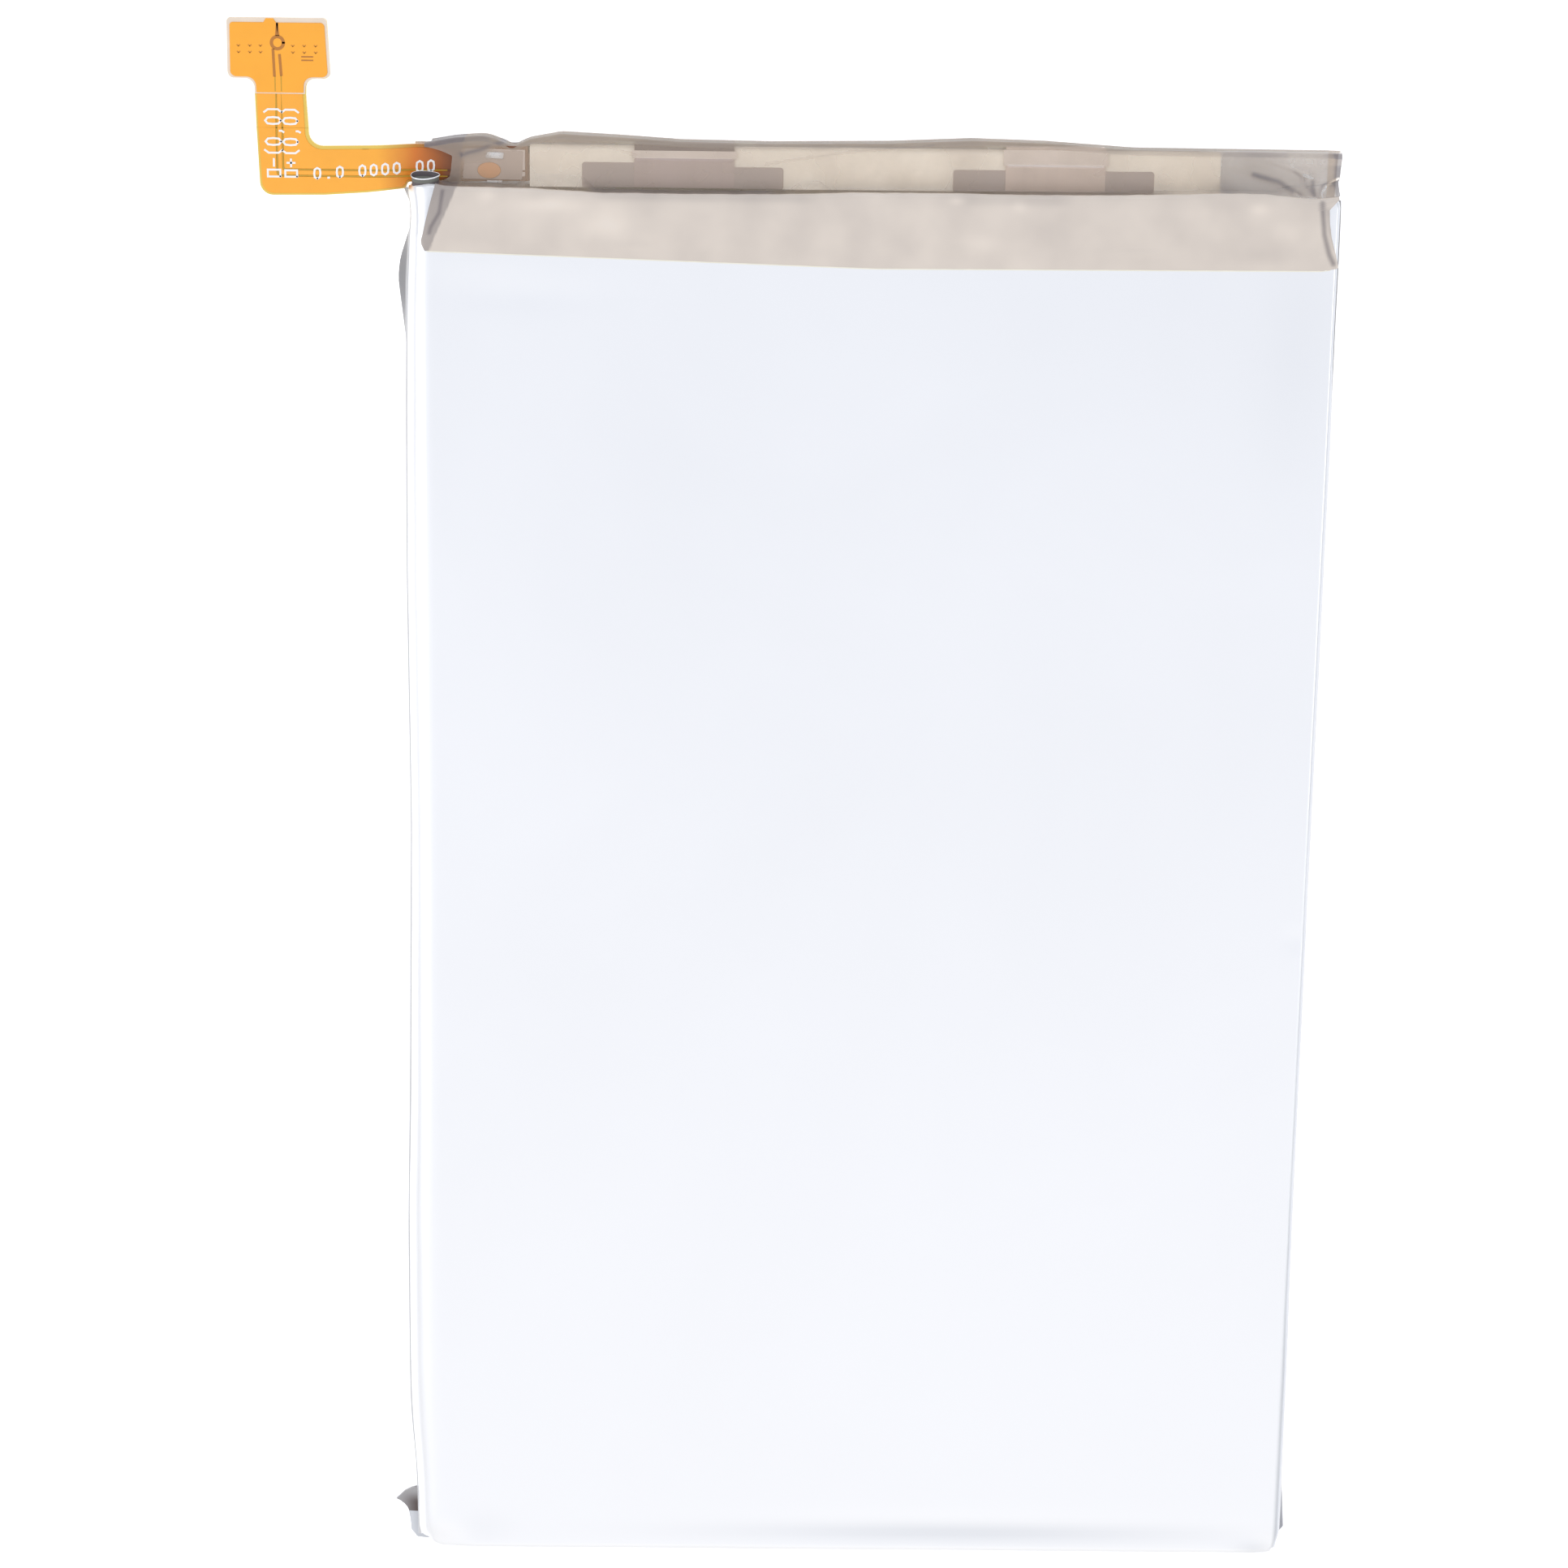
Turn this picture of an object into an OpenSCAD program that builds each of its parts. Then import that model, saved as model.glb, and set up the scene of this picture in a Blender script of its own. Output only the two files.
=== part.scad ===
// Flat lithium pouch cell pack with a flexible printed connector tail.
// The pack lies on its rear label: X runs across it, Y runs along it towards the
// protection circuit end, and Z runs from the rear label to the front face.
// The origin is the centre of the cup on the plane of the rear label.

/* [Pouch] */
// Width over the folded side seals
cell_w = 60; // [56:0.5:66]
// Length of the formed cup
cup_l = 95; // [93:0.5:105]
// Thickness from the rear label to the front face
pack_t = 4.6; // [4.55:0.05:4.8]
// Thickness of one sheet of aluminium laminate
sheet_t = 0.12; // [0.10:0.01:0.12]
// Outside radius round the front face
edge_r = 1.2; // [1.0:0.1:1.4]
// Outside radius of the cup's four upright corners
corner_r = 1.6; // [1.4:0.1:2]
// Length of the sealed terrace beyond the cup
terrace_l = 2.4; // [2.3:0.05:2.5]
// Height to which the side seals are folded up
seal_h = 3.6; // [3:0.1:3.8]

/* [Electrode roll] */
// Turns of the winding
turns = 9; // [4:1:9]
// Thickness of the anode foil with both coats
anode_t = 0.096; // [0.06:0.002:0.096]
// Thickness of the cathode foil with both coats
cathode_t = 0.078; // [0.05:0.002:0.078]
// Thickness of one separator
separator_t = 0.014; // [0.01:0.001:0.014]

/* [Tabs and circuit board] */
// Width of each cell tab
tab_w = 6.4; // [4:0.2:8]
// Middle of the positive tab
positive_x = -12.1; // [-13:0.1:-11]
// Middle of the negative tab
negative_x = 11.7; // [11:0.1:13]
// Length of each nickel weld plate
plate_l = 12.4; // [9:0.2:13]
// Half the length of the board's covered part
board_half_l = 22.3; // [21:0.1:23]
// Thickness of the circuit board
board_t = 0.5; // [0.4:0.05:0.6]

/* [Flexible tail] */
// Thickness of the flexible circuit
flex_t = 0.2; // [0.16:0.01:0.24]
// Width of the tail's upright leg
leg_w = 3.1; // [2.6:0.1:3.6]
// Width of the connector head
head_w = 6.4; // [5.6:0.1:7]
// Length of the connector head
head_l = 3.65; // [3.2:0.05:4.2]
// Height of the connector under the head
connector_h = 0.8; // [0.6:0.05:0.95]

/* [Hidden] */
$fn = 48;
eps = 0.01;
far = 200;
label_t = 0.08;

// Pouch levels and outlines
back_z = label_t;
seal_z = back_z + sheet_t;
cup_end = cup_l / 2;
terrace_end = cup_end + terrace_l;
wall_gap = 0.14;
fold_gap = 0.16;
cup_half_w = cell_w / 2 - wall_gap - fold_gap - 4 * sheet_t;
front_leg_x = cup_half_w + wall_gap;
back_leg_x = front_leg_x + sheet_t;
fold_x = back_leg_x + sheet_t + fold_gap / 2;
fold_return_z = 1.6;
seal_end = cup_end - 0.1;
mouth_r = 1.0;
mouth_x = -(cup_half_w - 0.77);
mouth_z = pack_t - 1.05;
mouth_end = cup_end + 0.5;

// Electrode roll: two-centre spiral, wound round a flat gap that holds the tabs
layer_gap = 0.002;
core_r = 0.12;
pitch = anode_t + cathode_t + 2 * separator_t + 4 * layer_gap;
roll_z = (seal_z + pack_t - sheet_t) / 2 + pitch / 4 - 0.01;
roll_half_flat = cup_half_w - sheet_t - 0.14 - core_r - (turns + 0.25) * pitch;
roll_bottom = -cup_end + 0.9;
roll_top = cup_end - 2.9;
arc_steps = 6;

// Circuit board stack on the terrace
tab_t = 0.08;
tab_seal_z = seal_z + 0.1;
film_t = 0.2;
film_w = tab_w + 2.6;
board_y = cup_end + 0.15;
board_w = 1.7;
board_z = 1.7;
board_top = board_z + board_t;
board_left = -board_half_l - 4.1;
paper_t = 0.12;
plate_t = 0.15;
plate_w = 1.1;
plate_y = board_y + 0.2;
tab_rise_y = terrace_end + 0.4;
tab_fold_y = board_y + 1.55;
tab_top_z = board_top + plate_t + tab_t / 2;

// Flexible tail: the root lies on the board, the arm rises to the tail's own level
root_z = board_top + flex_t / 2;
tail_z = 3.0;
root_low_y = cup_end + 0.17;
arm_top_y = cup_end + 2.3;
arm_low_y = cup_end - 0.9;
rise_start_x = -cell_w / 2 + 1.1;
rise_end_x = -cell_w / 2 - 2.1;
bend_x = -cell_w / 2 - 0.6;
taper_x = -cell_w / 2 - 3.6;
bend_z = root_z + (tail_z - root_z) * (rise_start_x - bend_x) / (rise_start_x - rise_end_x);
hinge_gap = 0.2;
knuckle_clear = 0.12;
leg_left_x = -cell_w / 2 - 9.35;
leg_right_x = leg_left_x + leg_w;
head_bend_y = cup_end + 4.5;
stiffener_y = cup_end + 5.5;
head_y = cup_end + 6.4;
head_x = (leg_left_x + leg_right_x) / 2 - 0.1;
copper_t = 0.06;
cover_t = 0.07;
copper_edge = 0.3;
copper_split = 0.45;

// ---------- shared shapes ----------

// Unit normal of the segment from a to b, to its left
function seg_normal(a, b) = let (d = b - a, l = norm(d)) [-d[1] / l, d[0] / l];

// Mitre vector at point i of a path: moving by it shifts both segments by 1
function mitre(path, i) =
    let (n = len(path) - 1,
         before = seg_normal(path[max(i - 1, 0)], path[max(i, 1)]),
         after = seg_normal(path[min(i, n - 1)], path[min(i + 1, n)]),
         mid = before + after)
    2 * mid / (mid * mid);

// Outline of the strip between two offsets, lo and hi, to the left of a path
function strip(path, lo, hi) = concat(
    [for (i = [0 : len(path) - 1]) path[i] + hi * mitre(path, i)],
    [for (i = [len(path) - 1 : -1 : 0]) path[i] + lo * mitre(path, i)]);

// Extrudes an outline drawn in Y and Z along X
module along_x(x0, x1) translate([x0, 0, 0]) rotate([90, 0, 90]) linear_extrude(x1 - x0) children();

// Extrudes an outline drawn in X and Z along Y
module along_y(y0, y1) translate([0, y1, 0]) rotate([90, 0, 0]) linear_extrude(y1 - y0) children();

// A box from its two corners
module box(lo, hi) translate(lo) cube(hi - lo);

// Rectangle with round corners, from its two corners
module round_rect(lo, hi, r) {
    translate([lo[0] + r, lo[1]]) square([hi[0] - lo[0] - 2 * r, hi[1] - lo[1]]);
    translate([lo[0], lo[1] + r]) square([hi[0] - lo[0], hi[1] - lo[1] - 2 * r]);
    for (x = [lo[0] + r, hi[0] - r], y = [lo[1] + r, hi[1] - r]) translate([x, y]) circle(r);
}

// Fillet for an inside corner at p; sx and sy point away from the corner
module inside_fillet(p, sx, sy, r) difference() {
    translate([p[0] - (sx < 0 ? r : eps), p[1] - (sy < 0 ? r : eps)]) square(r + eps);
    translate(p + [sx * r, sy * r]) circle(r);
}

// ---------- pouch ----------

// Profile of the cup seen along one side: round at the top, open below
module cup_profile(half, top, r) {
    translate([-half, seal_z - 1]) square([2 * half, top - r - seal_z + 1]);
    translate([-half + r, seal_z - 1]) square([2 * half - 2 * r, top - seal_z + 1]);
    for (s = [-1, 1]) translate([s * (half - r), top - r]) circle(r);
}

// The cup as a full block, shrunk all round by inset
module cup_block(inset) intersection() {
    along_y(-far, far) cup_profile(cup_half_w - inset, pack_t - inset, edge_r - inset);
    along_x(-far, far) cup_profile(cup_end - inset, pack_t - inset, edge_r - inset);
    translate([0, 0, -1]) linear_extrude(pack_t + 2)
        round_rect([-cup_half_w + inset, -cup_end + inset], [cup_half_w - inset, cup_end - inset],
                   corner_r - inset);
}

// One sheet of a double-folded side seal on the right: up the wall, over and back down
module seal_fold(leg_x, foot_z) {
    outer_r = fold_x - leg_x;
    translate([leg_x, foot_z]) square([sheet_t, seal_h - foot_z]);
    translate([fold_x + outer_r - sheet_t, fold_return_z]) square([sheet_t, seal_h - fold_return_z]);
    translate([fold_x, seal_h]) intersection() {
        difference() {
            circle(outer_r);
            circle(outer_r - sheet_t);
        }
        translate([-1, 0]) square([2, 1]);
    }
}

// Space for one tab's sealing film between the sheets
module film_block(x, grow = 0)
    box([x - film_w / 2 - grow, cup_end - 0.5, seal_z - 1],
        [x + film_w / 2 + grow, terrace_end + 0.15, seal_z + film_t + grow]);

// Small folded ear of laminate at a bottom corner, highest at the distance tip from the end
module corner_ear(side, reach, tip)
    translate([0, 0, fold_return_z + 0.2]) linear_extrude(2 * sheet_t) polygon([
        [side * (cell_w / 2 - sheet_t + eps), -cup_end + tip + 1.4],
        [side * (cell_w / 2 + reach), -cup_end + tip],
        [side * (cell_w / 2 + reach * 0.3), -cup_end],
        [side * (cell_w / 2 - sheet_t + eps), -cup_end]]);

module pouch_front_sheet() color([0.88, 0.89, 0.91]) {
    difference() {
        union() {
            cup_block(0);
            box([-front_leg_x - sheet_t, -cup_end, seal_z],
                [front_leg_x + sheet_t, cup_end, seal_z + sheet_t]);
            box([-cup_half_w, cup_end - 1, seal_z], [cup_half_w, terrace_end, seal_z + sheet_t]);
            for (x = [positive_x, negative_x]) intersection() {
                film_block(x, sheet_t);
                box([-far, cup_end - eps, seal_z], [far, terrace_end, far]);
            }
            for (side = [0, 1]) mirror([side, 0, 0])
                along_y(-cup_end, seal_end) seal_fold(front_leg_x, seal_z);
            translate([mouth_x, mouth_end, mouth_z]) rotate([90, 0, 0]) cylinder(r = mouth_r, h = 2.4);
            corner_ear(-1, 1.9, 2.7);
            corner_ear(1, 0.75, 1.3);
        }
        cup_block(sheet_t);
        translate([mouth_x, mouth_end + 1, mouth_z])
            rotate([90, 0, 0]) cylinder(r = mouth_r - sheet_t, h = 2.45);
        for (x = [positive_x, negative_x]) film_block(x);
        box([-far, -far, -far], [far, far, seal_z]);
    }
}

module pouch_back_sheet() color([0.80, 0.81, 0.83]) {
    box([-back_leg_x - sheet_t, -cup_end, back_z], [back_leg_x + sheet_t, cup_end, seal_z]);
    box([-cup_half_w, cup_end - 1, back_z], [cup_half_w, terrace_end, seal_z]);
    for (side = [0, 1]) mirror([side, 0, 0]) along_y(-cup_end, seal_end) seal_fold(back_leg_x, back_z);
}

module rear_label() color([0.93, 0.93, 0.94])
    linear_extrude(label_t)
        round_rect([-cup_half_w + 0.8, -cup_end + 0.8], [cup_half_w - 0.8, cup_end - 4.7], 1);

// ---------- electrode roll ----------

// Centre line of one wound layer whose inner face is off from the core
function winding(off) = concat(
    [[-roll_half_flat, core_r + off]],
    [for (k = [0 : 2 * turns - 2], j = [0 : arc_steps])
        let (a = 90 - 180 * (k + j / arc_steps), side = k % 2 == 0 ? 1 : -1)
        [side * roll_half_flat, -side * pitch / 4]
            + (core_r + off + (k + 0.5) * pitch / 2) * [cos(a), sin(a)]],
    [[-roll_half_flat + 2, -(core_r + off + (turns - 0.5) * pitch)]]);

// One wound layer of thickness t, between two places along the cell
module wound_layer(off, t, y0, y1) {
    inner = winding(off);
    outer = winding(off + t);
    n = len(inner) - 1;
    translate([0, 0, roll_z]) along_y(y0, y1)
        polygon(concat(inner, [for (i = [n : -1 : 0]) outer[i]]));
}

anode_off = separator_t + layer_gap;
outer_separator_off = anode_off + anode_t + layer_gap;
cathode_off = outer_separator_off + separator_t + layer_gap;

module inner_separator() color([0.96, 0.96, 0.94]) wound_layer(0, separator_t, roll_bottom, roll_top);
module anode_foil() color([0.20, 0.20, 0.21])
    wound_layer(anode_off, anode_t, roll_bottom + 0.6, roll_top - 0.6);
module outer_separator() color([0.96, 0.96, 0.94])
    wound_layer(outer_separator_off, separator_t, roll_bottom, roll_top);
module cathode_foil() color([0.32, 0.32, 0.34])
    wound_layer(cathode_off, cathode_t, roll_bottom + 1.2, roll_top - 1.2);

module roll_end_tape() color([0.30, 0.62, 0.45])
    box([-roll_half_flat, -40, seal_z + 0.02], [-roll_half_flat + 8, 38, seal_z + 0.05]);

// ---------- tabs ----------

// Centre line of a tab: out of the roll, down to the seal, through it, up and back over the board
tab_path = [
    [12, roll_z], [roll_top + 0.5, roll_z], [cup_end - 1, tab_seal_z + 0.15], [cup_end - 0.6, tab_seal_z],
    [terrace_end + 0.15, tab_seal_z], [tab_rise_y, tab_seal_z + 0.2], [tab_rise_y, board_z - 0.2],
    [terrace_end + 0.05, board_z + 0.2], [tab_fold_y, tab_top_z], [plate_y + 0.05, tab_top_z]];

module cell_tab(x) along_x(x - tab_w / 2, x + tab_w / 2) polygon(strip(tab_path, -tab_t / 2, tab_t / 2));

module positive_tab() color([0.78, 0.77, 0.76]) cell_tab(positive_x);
module negative_tab() color([0.66, 0.63, 0.60]) cell_tab(negative_x);

module tab_film(x) difference() {
    box([x - film_w / 2, cup_end - 0.5, seal_z], [x + film_w / 2, terrace_end + 0.15, seal_z + film_t]);
    box([x - tab_w / 2, -far, tab_seal_z - tab_t / 2], [x + tab_w / 2, far, tab_seal_z + tab_t / 2]);
}

module positive_tab_film() color([0.85, 0.84, 0.78]) tab_film(positive_x);
module negative_tab_film() color([0.85, 0.84, 0.78]) tab_film(negative_x);

module tab_insulation_tapes() color([0.86, 0.66, 0.28]) for (x = [positive_x, negative_x]) difference() {
    box([x - tab_w / 2 - 1, roll_top - 2, roll_z - 0.08], [x + tab_w / 2 + 1, roll_top + 0.3, roll_z + 0.08]);
    box([x - tab_w / 2, 0, roll_z - tab_t / 2], [x + tab_w / 2, far, roll_z + tab_t / 2]);
}

// ---------- protection circuit ----------

module terrace_pad() color([0.25, 0.25, 0.26])
    box([-board_half_l, board_y + 0.05, seal_z + film_t + sheet_t + 0.04],
        [board_half_l, terrace_end - 0.2, board_z - 0.75]);

module circuit_board() color([0.10, 0.30, 0.20])
    box([board_left, board_y, board_z], [board_half_l, board_y + board_w, board_top]);

module weld_plate(x) box([x - plate_l / 2, plate_y, board_top],
                         [x + plate_l / 2, plate_y + plate_w, board_top + plate_t]);
module positive_weld_plate() color([0.62, 0.58, 0.55]) weld_plate(positive_x);
module negative_weld_plate() color([0.62, 0.58, 0.55]) weld_plate(negative_x);

// Strip of cream insulating paper on the board, cut out for the weld plates and the tabs
module insulation_paper() color([0.93, 0.88, 0.76]) difference() {
    box([-board_half_l + 0.3, board_y - 0.03, board_top],
        [board_half_l - 0.2, board_y + board_w + 0.2, board_top + paper_t]);
    for (x = [positive_x, negative_x]) {
        box([x - plate_l / 2 - 0.05, plate_y - 0.03, board_top - 1],
            [x + plate_l / 2 + 0.05, plate_y + plate_w + 0.05, board_top + 1]);
        box([x - tab_w / 2 - 0.05, plate_y - 0.03, board_top - 1],
            [x + tab_w / 2 + 0.05, far, board_top + 1]);
    }
}

// A part soldered under the board: x is its middle, size is length, width and height
module under_board(x, size)
    box([x - size[0] / 2, board_y + (board_w - size[1]) / 2, board_z - size[2]],
        [x + size[0] / 2, board_y + (board_w + size[1]) / 2, board_z]);

module mosfet() color([0.12, 0.12, 0.13]) under_board(-3, [3.2, 1.5, 0.65]);
module protection_ic() color([0.12, 0.12, 0.13]) under_board(1.6, [1.8, 1.4, 0.55]);
module sense_resistor() color([0.16, 0.16, 0.17]) under_board(-8, [2.5, 1.3, 0.5]);
module thermal_fuse() color([0.80, 0.80, 0.82]) under_board(-14, [4.0, 1.5, 0.7]);
module thermistor() color([0.45, 0.32, 0.22]) under_board(18.5, [1.6, 0.8, 0.7]);
module chip_capacitors() color([0.62, 0.50, 0.38])
    for (i = [0 : 2]) under_board(4.4 + 1.9 * i, [1.0, 0.5, 0.5]);
module chip_resistors() color([0.14, 0.14, 0.15])
    for (i = [0 : 2]) under_board(10.5 + 1.9 * i, [1.0, 0.5, 0.35]);

// ---------- wrap tape ----------

tape_t = 0.05;
tape_front_y = cup_end - 4.6;
tape_right = cell_w / 2 - 0.1;
tape_left = -cell_w / 2 + 1.2;
// How far the tape's left edge is cut back where it passes the open end of the seal
tape_notch = 1.7;
// Centre line of the tape: along the front, down over the board, round the end and under the rear
tape_path = [
    [tape_front_y, pack_t + tape_t / 2], [cup_end - 0.2, pack_t + tape_t / 2], [terrace_end + 0.6, 2.85],
    [terrace_end + 0.75, 2.5], [terrace_end + 0.75, 0.3], [terrace_end + 0.5, back_z - tape_t / 2],
    [tape_front_y + 0.2, back_z - tape_t / 2]];

module wrap_tape() color([0.72, 0.66, 0.61]) intersection() {
    along_x(tape_left, tape_right) polygon(strip(tape_path, -tape_t / 2, tape_t / 2));
    translate([0, 0, -1]) linear_extrude(pack_t + 2) polygon([
        [tape_left + 0.3, tape_front_y - 1], [tape_left + 0.3, tape_front_y + 0.1],
        [tape_left + tape_notch, cup_end + 0.9], [tape_left - eps, terrace_end],
        [tape_left - eps, terrace_end + 2], [tape_right + eps, terrace_end + 2],
        [tape_right + eps, tape_front_y - 1]]);
}

// ---------- flexible tail ----------

// Centre lines across the tail: the root on the board, and the arm that rises to the tail's level
root_path = [[-board_half_l, root_z], [rise_start_x, root_z],
             [bend_x + hinge_gap, bend_z - hinge_gap * (bend_z - root_z) / (rise_start_x - bend_x)]];
arm_path = [[bend_x, bend_z], [rise_end_x, tail_z], [-far / 2, tail_z]];

// Layer offsets from the middle of the flexible circuit: base film, copper, cover film
base_lo = -flex_t / 2;
cover_hi = flex_t / 2;
cover_lo = cover_hi - cover_t;
copper_lo = cover_lo - copper_t;

// A layer of the root, between two offsets, inside a 2-D outline. The paths run towards -X.
module root_layer(lo, hi) intersection() {
    along_y(-far, far) polygon(strip(root_path, -hi, -lo));
    linear_extrude(far) children();
}
module arm_layer(lo, hi) intersection() {
    along_y(-far, far) polygon(strip(arm_path, -hi, -lo));
    linear_extrude(far) children();
}
module head_layer(lo, hi) translate([0, 0, tail_z + lo]) linear_extrude(hi - lo) children();

module root_outline() translate([-far, root_low_y]) square([far - board_half_l, arm_top_y - root_low_y]);

// The tail's L shape, with a tapered lower edge that clears the pouch
module tail_outline() difference() {
    union() {
        translate([leg_left_x + 1, arm_low_y]) square([bend_x - leg_left_x - 1, arm_top_y - arm_low_y]);
        translate([leg_left_x, arm_low_y + 1]) square([leg_w, head_bend_y - hinge_gap - arm_low_y - 1]);
        translate([leg_left_x + 1, arm_low_y + 1]) circle(1);
        inside_fillet([leg_right_x, arm_top_y], 1, 1, 0.9);
    }
    polygon([[taper_x, arm_low_y - eps], [bend_x, root_low_y - 0.1], [bend_x, root_low_y],
             [bend_x + 1, root_low_y], [bend_x + 1, arm_low_y - eps]]);
}

module head_outline() {
    round_rect([head_x - head_w / 2, head_y], [head_x + head_w / 2, head_y + head_l], 0.5);
    translate([leg_left_x, head_bend_y]) square([leg_w, head_y - head_bend_y + 1]);
    inside_fillet([leg_left_x, head_y], -1, -1, 0.8);
    inside_fillet([leg_right_x, head_y], 1, -1, 0.8);
}

// Two solder domes that join the root to the board
module solder_shape(r, top) for (y = [root_low_y + 0.6, root_low_y + 1.55])
    translate([-board_half_l - 1.6, y, board_top]) cylinder(r = r, h = top);
module flex_solder_joints() color([0.80, 0.80, 0.82]) solder_shape(0.32, flex_t + 0.08);

module root_copper_outline() for (y = [root_low_y + copper_edge, (root_low_y + arm_top_y + copper_split) / 2])
    translate([-far, y])
        square([far - board_half_l - 0.2, (arm_top_y - root_low_y - 2 * copper_edge - copper_split) / 2]);

module flex_root_copper() color([0.85, 0.48, 0.22]) difference() {
    root_layer(copper_lo, cover_lo) root_copper_outline();
    solder_shape(0.32, 1);
}
module flex_root_base() color([0.90, 0.58, 0.15]) difference() {
    root_layer(base_lo, cover_lo) root_outline();
    root_layer(copper_lo, cover_lo + eps) root_copper_outline();
    solder_shape(0.32, 1);
}
module flex_root_coverlay() color([0.95, 0.64, 0.18]) difference() {
    root_layer(cover_lo, cover_hi) root_outline();
    solder_shape(0.32, 1);
}

// The two power traces along the tail, on each side of a narrow split
module tail_copper_outline() {
    split_y = (arm_low_y + arm_top_y) / 2;
    split_x = (leg_left_x + leg_right_x) / 2;
    top_y = head_bend_y - hinge_gap - 0.2;
    right_x = bend_x - 0.4;
    // outer trace: down the outside of the leg and along the lower half of the arm
    translate([leg_left_x + copper_edge, arm_low_y + 1])
        square([split_x - copper_split / 2 - leg_left_x - copper_edge, top_y - arm_low_y - 1]);
    translate([leg_left_x + 1, arm_low_y + copper_edge])
        square([taper_x - 0.2 - leg_left_x - 1, split_y - copper_split / 2 - arm_low_y - copper_edge]);
    translate([taper_x - 0.4, root_low_y + copper_edge])
        square([right_x - taper_x + 0.4, split_y - copper_split / 2 - root_low_y - copper_edge]);
    translate([leg_left_x + 1, arm_low_y + 1]) circle(1 - copper_edge);
    // inner trace: down the inside of the leg and along the upper half of the arm
    translate([split_x + copper_split / 2, split_y + copper_split / 2])
        square([leg_right_x - copper_edge - split_x - copper_split / 2, top_y - split_y - copper_split / 2]);
    translate([split_x + copper_split / 2, split_y + copper_split / 2])
        square([right_x - split_x - copper_split / 2, arm_top_y - copper_edge - split_y - copper_split / 2]);
}

module flex_tail_copper() color([0.85, 0.48, 0.22]) arm_layer(copper_lo, cover_lo) tail_copper_outline();
module flex_tail_base() color([0.90, 0.58, 0.15]) {
    difference() {
        arm_layer(base_lo, cover_lo) tail_outline();
        arm_layer(copper_lo, cover_lo + eps) tail_copper_outline();
    }
    translate([bend_x, arm_top_y, bend_z]) rotate([90, 0, 0])
        cylinder(r = flex_t / 2, h = arm_top_y - root_low_y);
}
module flex_tail_coverlay() color([0.95, 0.64, 0.18]) intersection() {
    arm_layer(cover_lo, cover_hi) tail_outline();
    box([-far, -far, -far], [bend_x - knuckle_clear, far, far]);
}

// The head's two copper areas, one under each half of the connector
module head_copper_outline() for (side = [-1, 1]) {
    mid = (leg_left_x + leg_right_x) / 2;
    leg_x = side < 0 ? leg_left_x + copper_edge : mid + copper_split / 2;
    pad_x = side < 0 ? head_x - head_w / 2 + copper_edge : mid + copper_split / 2;
    pad_end = side < 0 ? mid - copper_split / 2 : head_x + head_w / 2 - copper_edge;
    translate([leg_x, head_bend_y + 0.3])
        square([leg_w / 2 - copper_edge - copper_split / 2, head_y - head_bend_y + 0.4]);
    translate([pad_x, head_y + 0.4]) square([pad_end - pad_x, head_l - 0.8]);
}

module flex_head_copper() color([0.85, 0.48, 0.22]) head_layer(copper_lo, cover_lo) head_copper_outline();
module flex_head_base() color([0.90, 0.58, 0.15]) {
    difference() {
        head_layer(base_lo, cover_lo) head_outline();
        head_layer(copper_lo, cover_lo + eps) head_copper_outline();
    }
    translate([leg_left_x, head_bend_y, tail_z]) rotate([0, 90, 0]) cylinder(r = flex_t / 2, h = leg_w);
}
module flex_head_coverlay() color([0.95, 0.64, 0.18]) head_layer(cover_lo, cover_hi) intersection() {
    head_outline();
    translate([-far, head_bend_y + knuckle_clear]) square([far, far]);
}
module head_stiffener() color([0.97, 0.68, 0.26]) head_layer(cover_hi, cover_hi + 0.15) intersection() {
    head_outline();
    translate([-far, stiffener_y]) square([far, far]);
}

// ---------- connector under the head ----------

conn_l = 5.2;
conn_w = 2.1;
conn_y = head_y + head_l / 2;
conn_top = tail_z - flex_t / 2;
conn_wall = 0.3;
island_w = 0.5;
contact_w = 0.2;
signal_pitch = 0.5;

// Repeats a part on both long sides of the connector, mirrored across its middle
module both_sides() for (s = [0, 1]) translate([head_x, conn_y, conn_top]) mirror([0, s, 0]) children();

module connector_housing() color([0.12, 0.12, 0.13]) difference() {
    translate([head_x, conn_y, conn_top - connector_h]) linear_extrude(connector_h)
        round_rect([-conn_l / 2, -conn_w / 2], [conn_l / 2, conn_w / 2], 0.2);
    // the ring-shaped well that the mating half enters
    translate([head_x, conn_y, conn_top - connector_h - 1]) linear_extrude(connector_h + 0.75) difference() {
        square([conn_l - 2 * conn_wall, conn_w - 2 * conn_wall], center = true);
        square([conn_l - 2 * conn_wall - 1, island_w], center = true);
    }
    // slots for the contacts and the anchors
    both_sides() for (x = contact_places()) contact_shape(x[0], x[1]);
    connector_anchor_shapes();
}

// Middle and width of each contact on one side: a wide power contact at each end, two signals between
function contact_places() = concat(
    [for (s = [-1, 1]) [s * 1.45, 0.8]],
    [for (s = [-1, 1]) [s * signal_pitch / 2, contact_w]]);

// One contact: a foot under the film and a riser on the wall's inner face
module contact_shape(x, w) along_x(x - w / 2, x + w / 2) polygon([
    [conn_w / 2 + 0.25, 0], [conn_w / 2 + 0.25, -0.1], [conn_w / 2 - conn_wall + 0.08, -0.1],
    [conn_w / 2 - conn_wall + 0.08, -connector_h + 0.12], [conn_w / 2 - conn_wall, -connector_h + 0.12],
    [conn_w / 2 - conn_wall, 0]]);

module connector_power_contacts() color([0.86, 0.70, 0.36])
    both_sides() for (i = [0, 1]) contact_shape(contact_places()[i][0], contact_places()[i][1]);
module connector_signal_contacts() color([0.86, 0.70, 0.36])
    both_sides() for (i = [2, 3]) contact_shape(contact_places()[i][0], contact_places()[i][1]);

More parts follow.
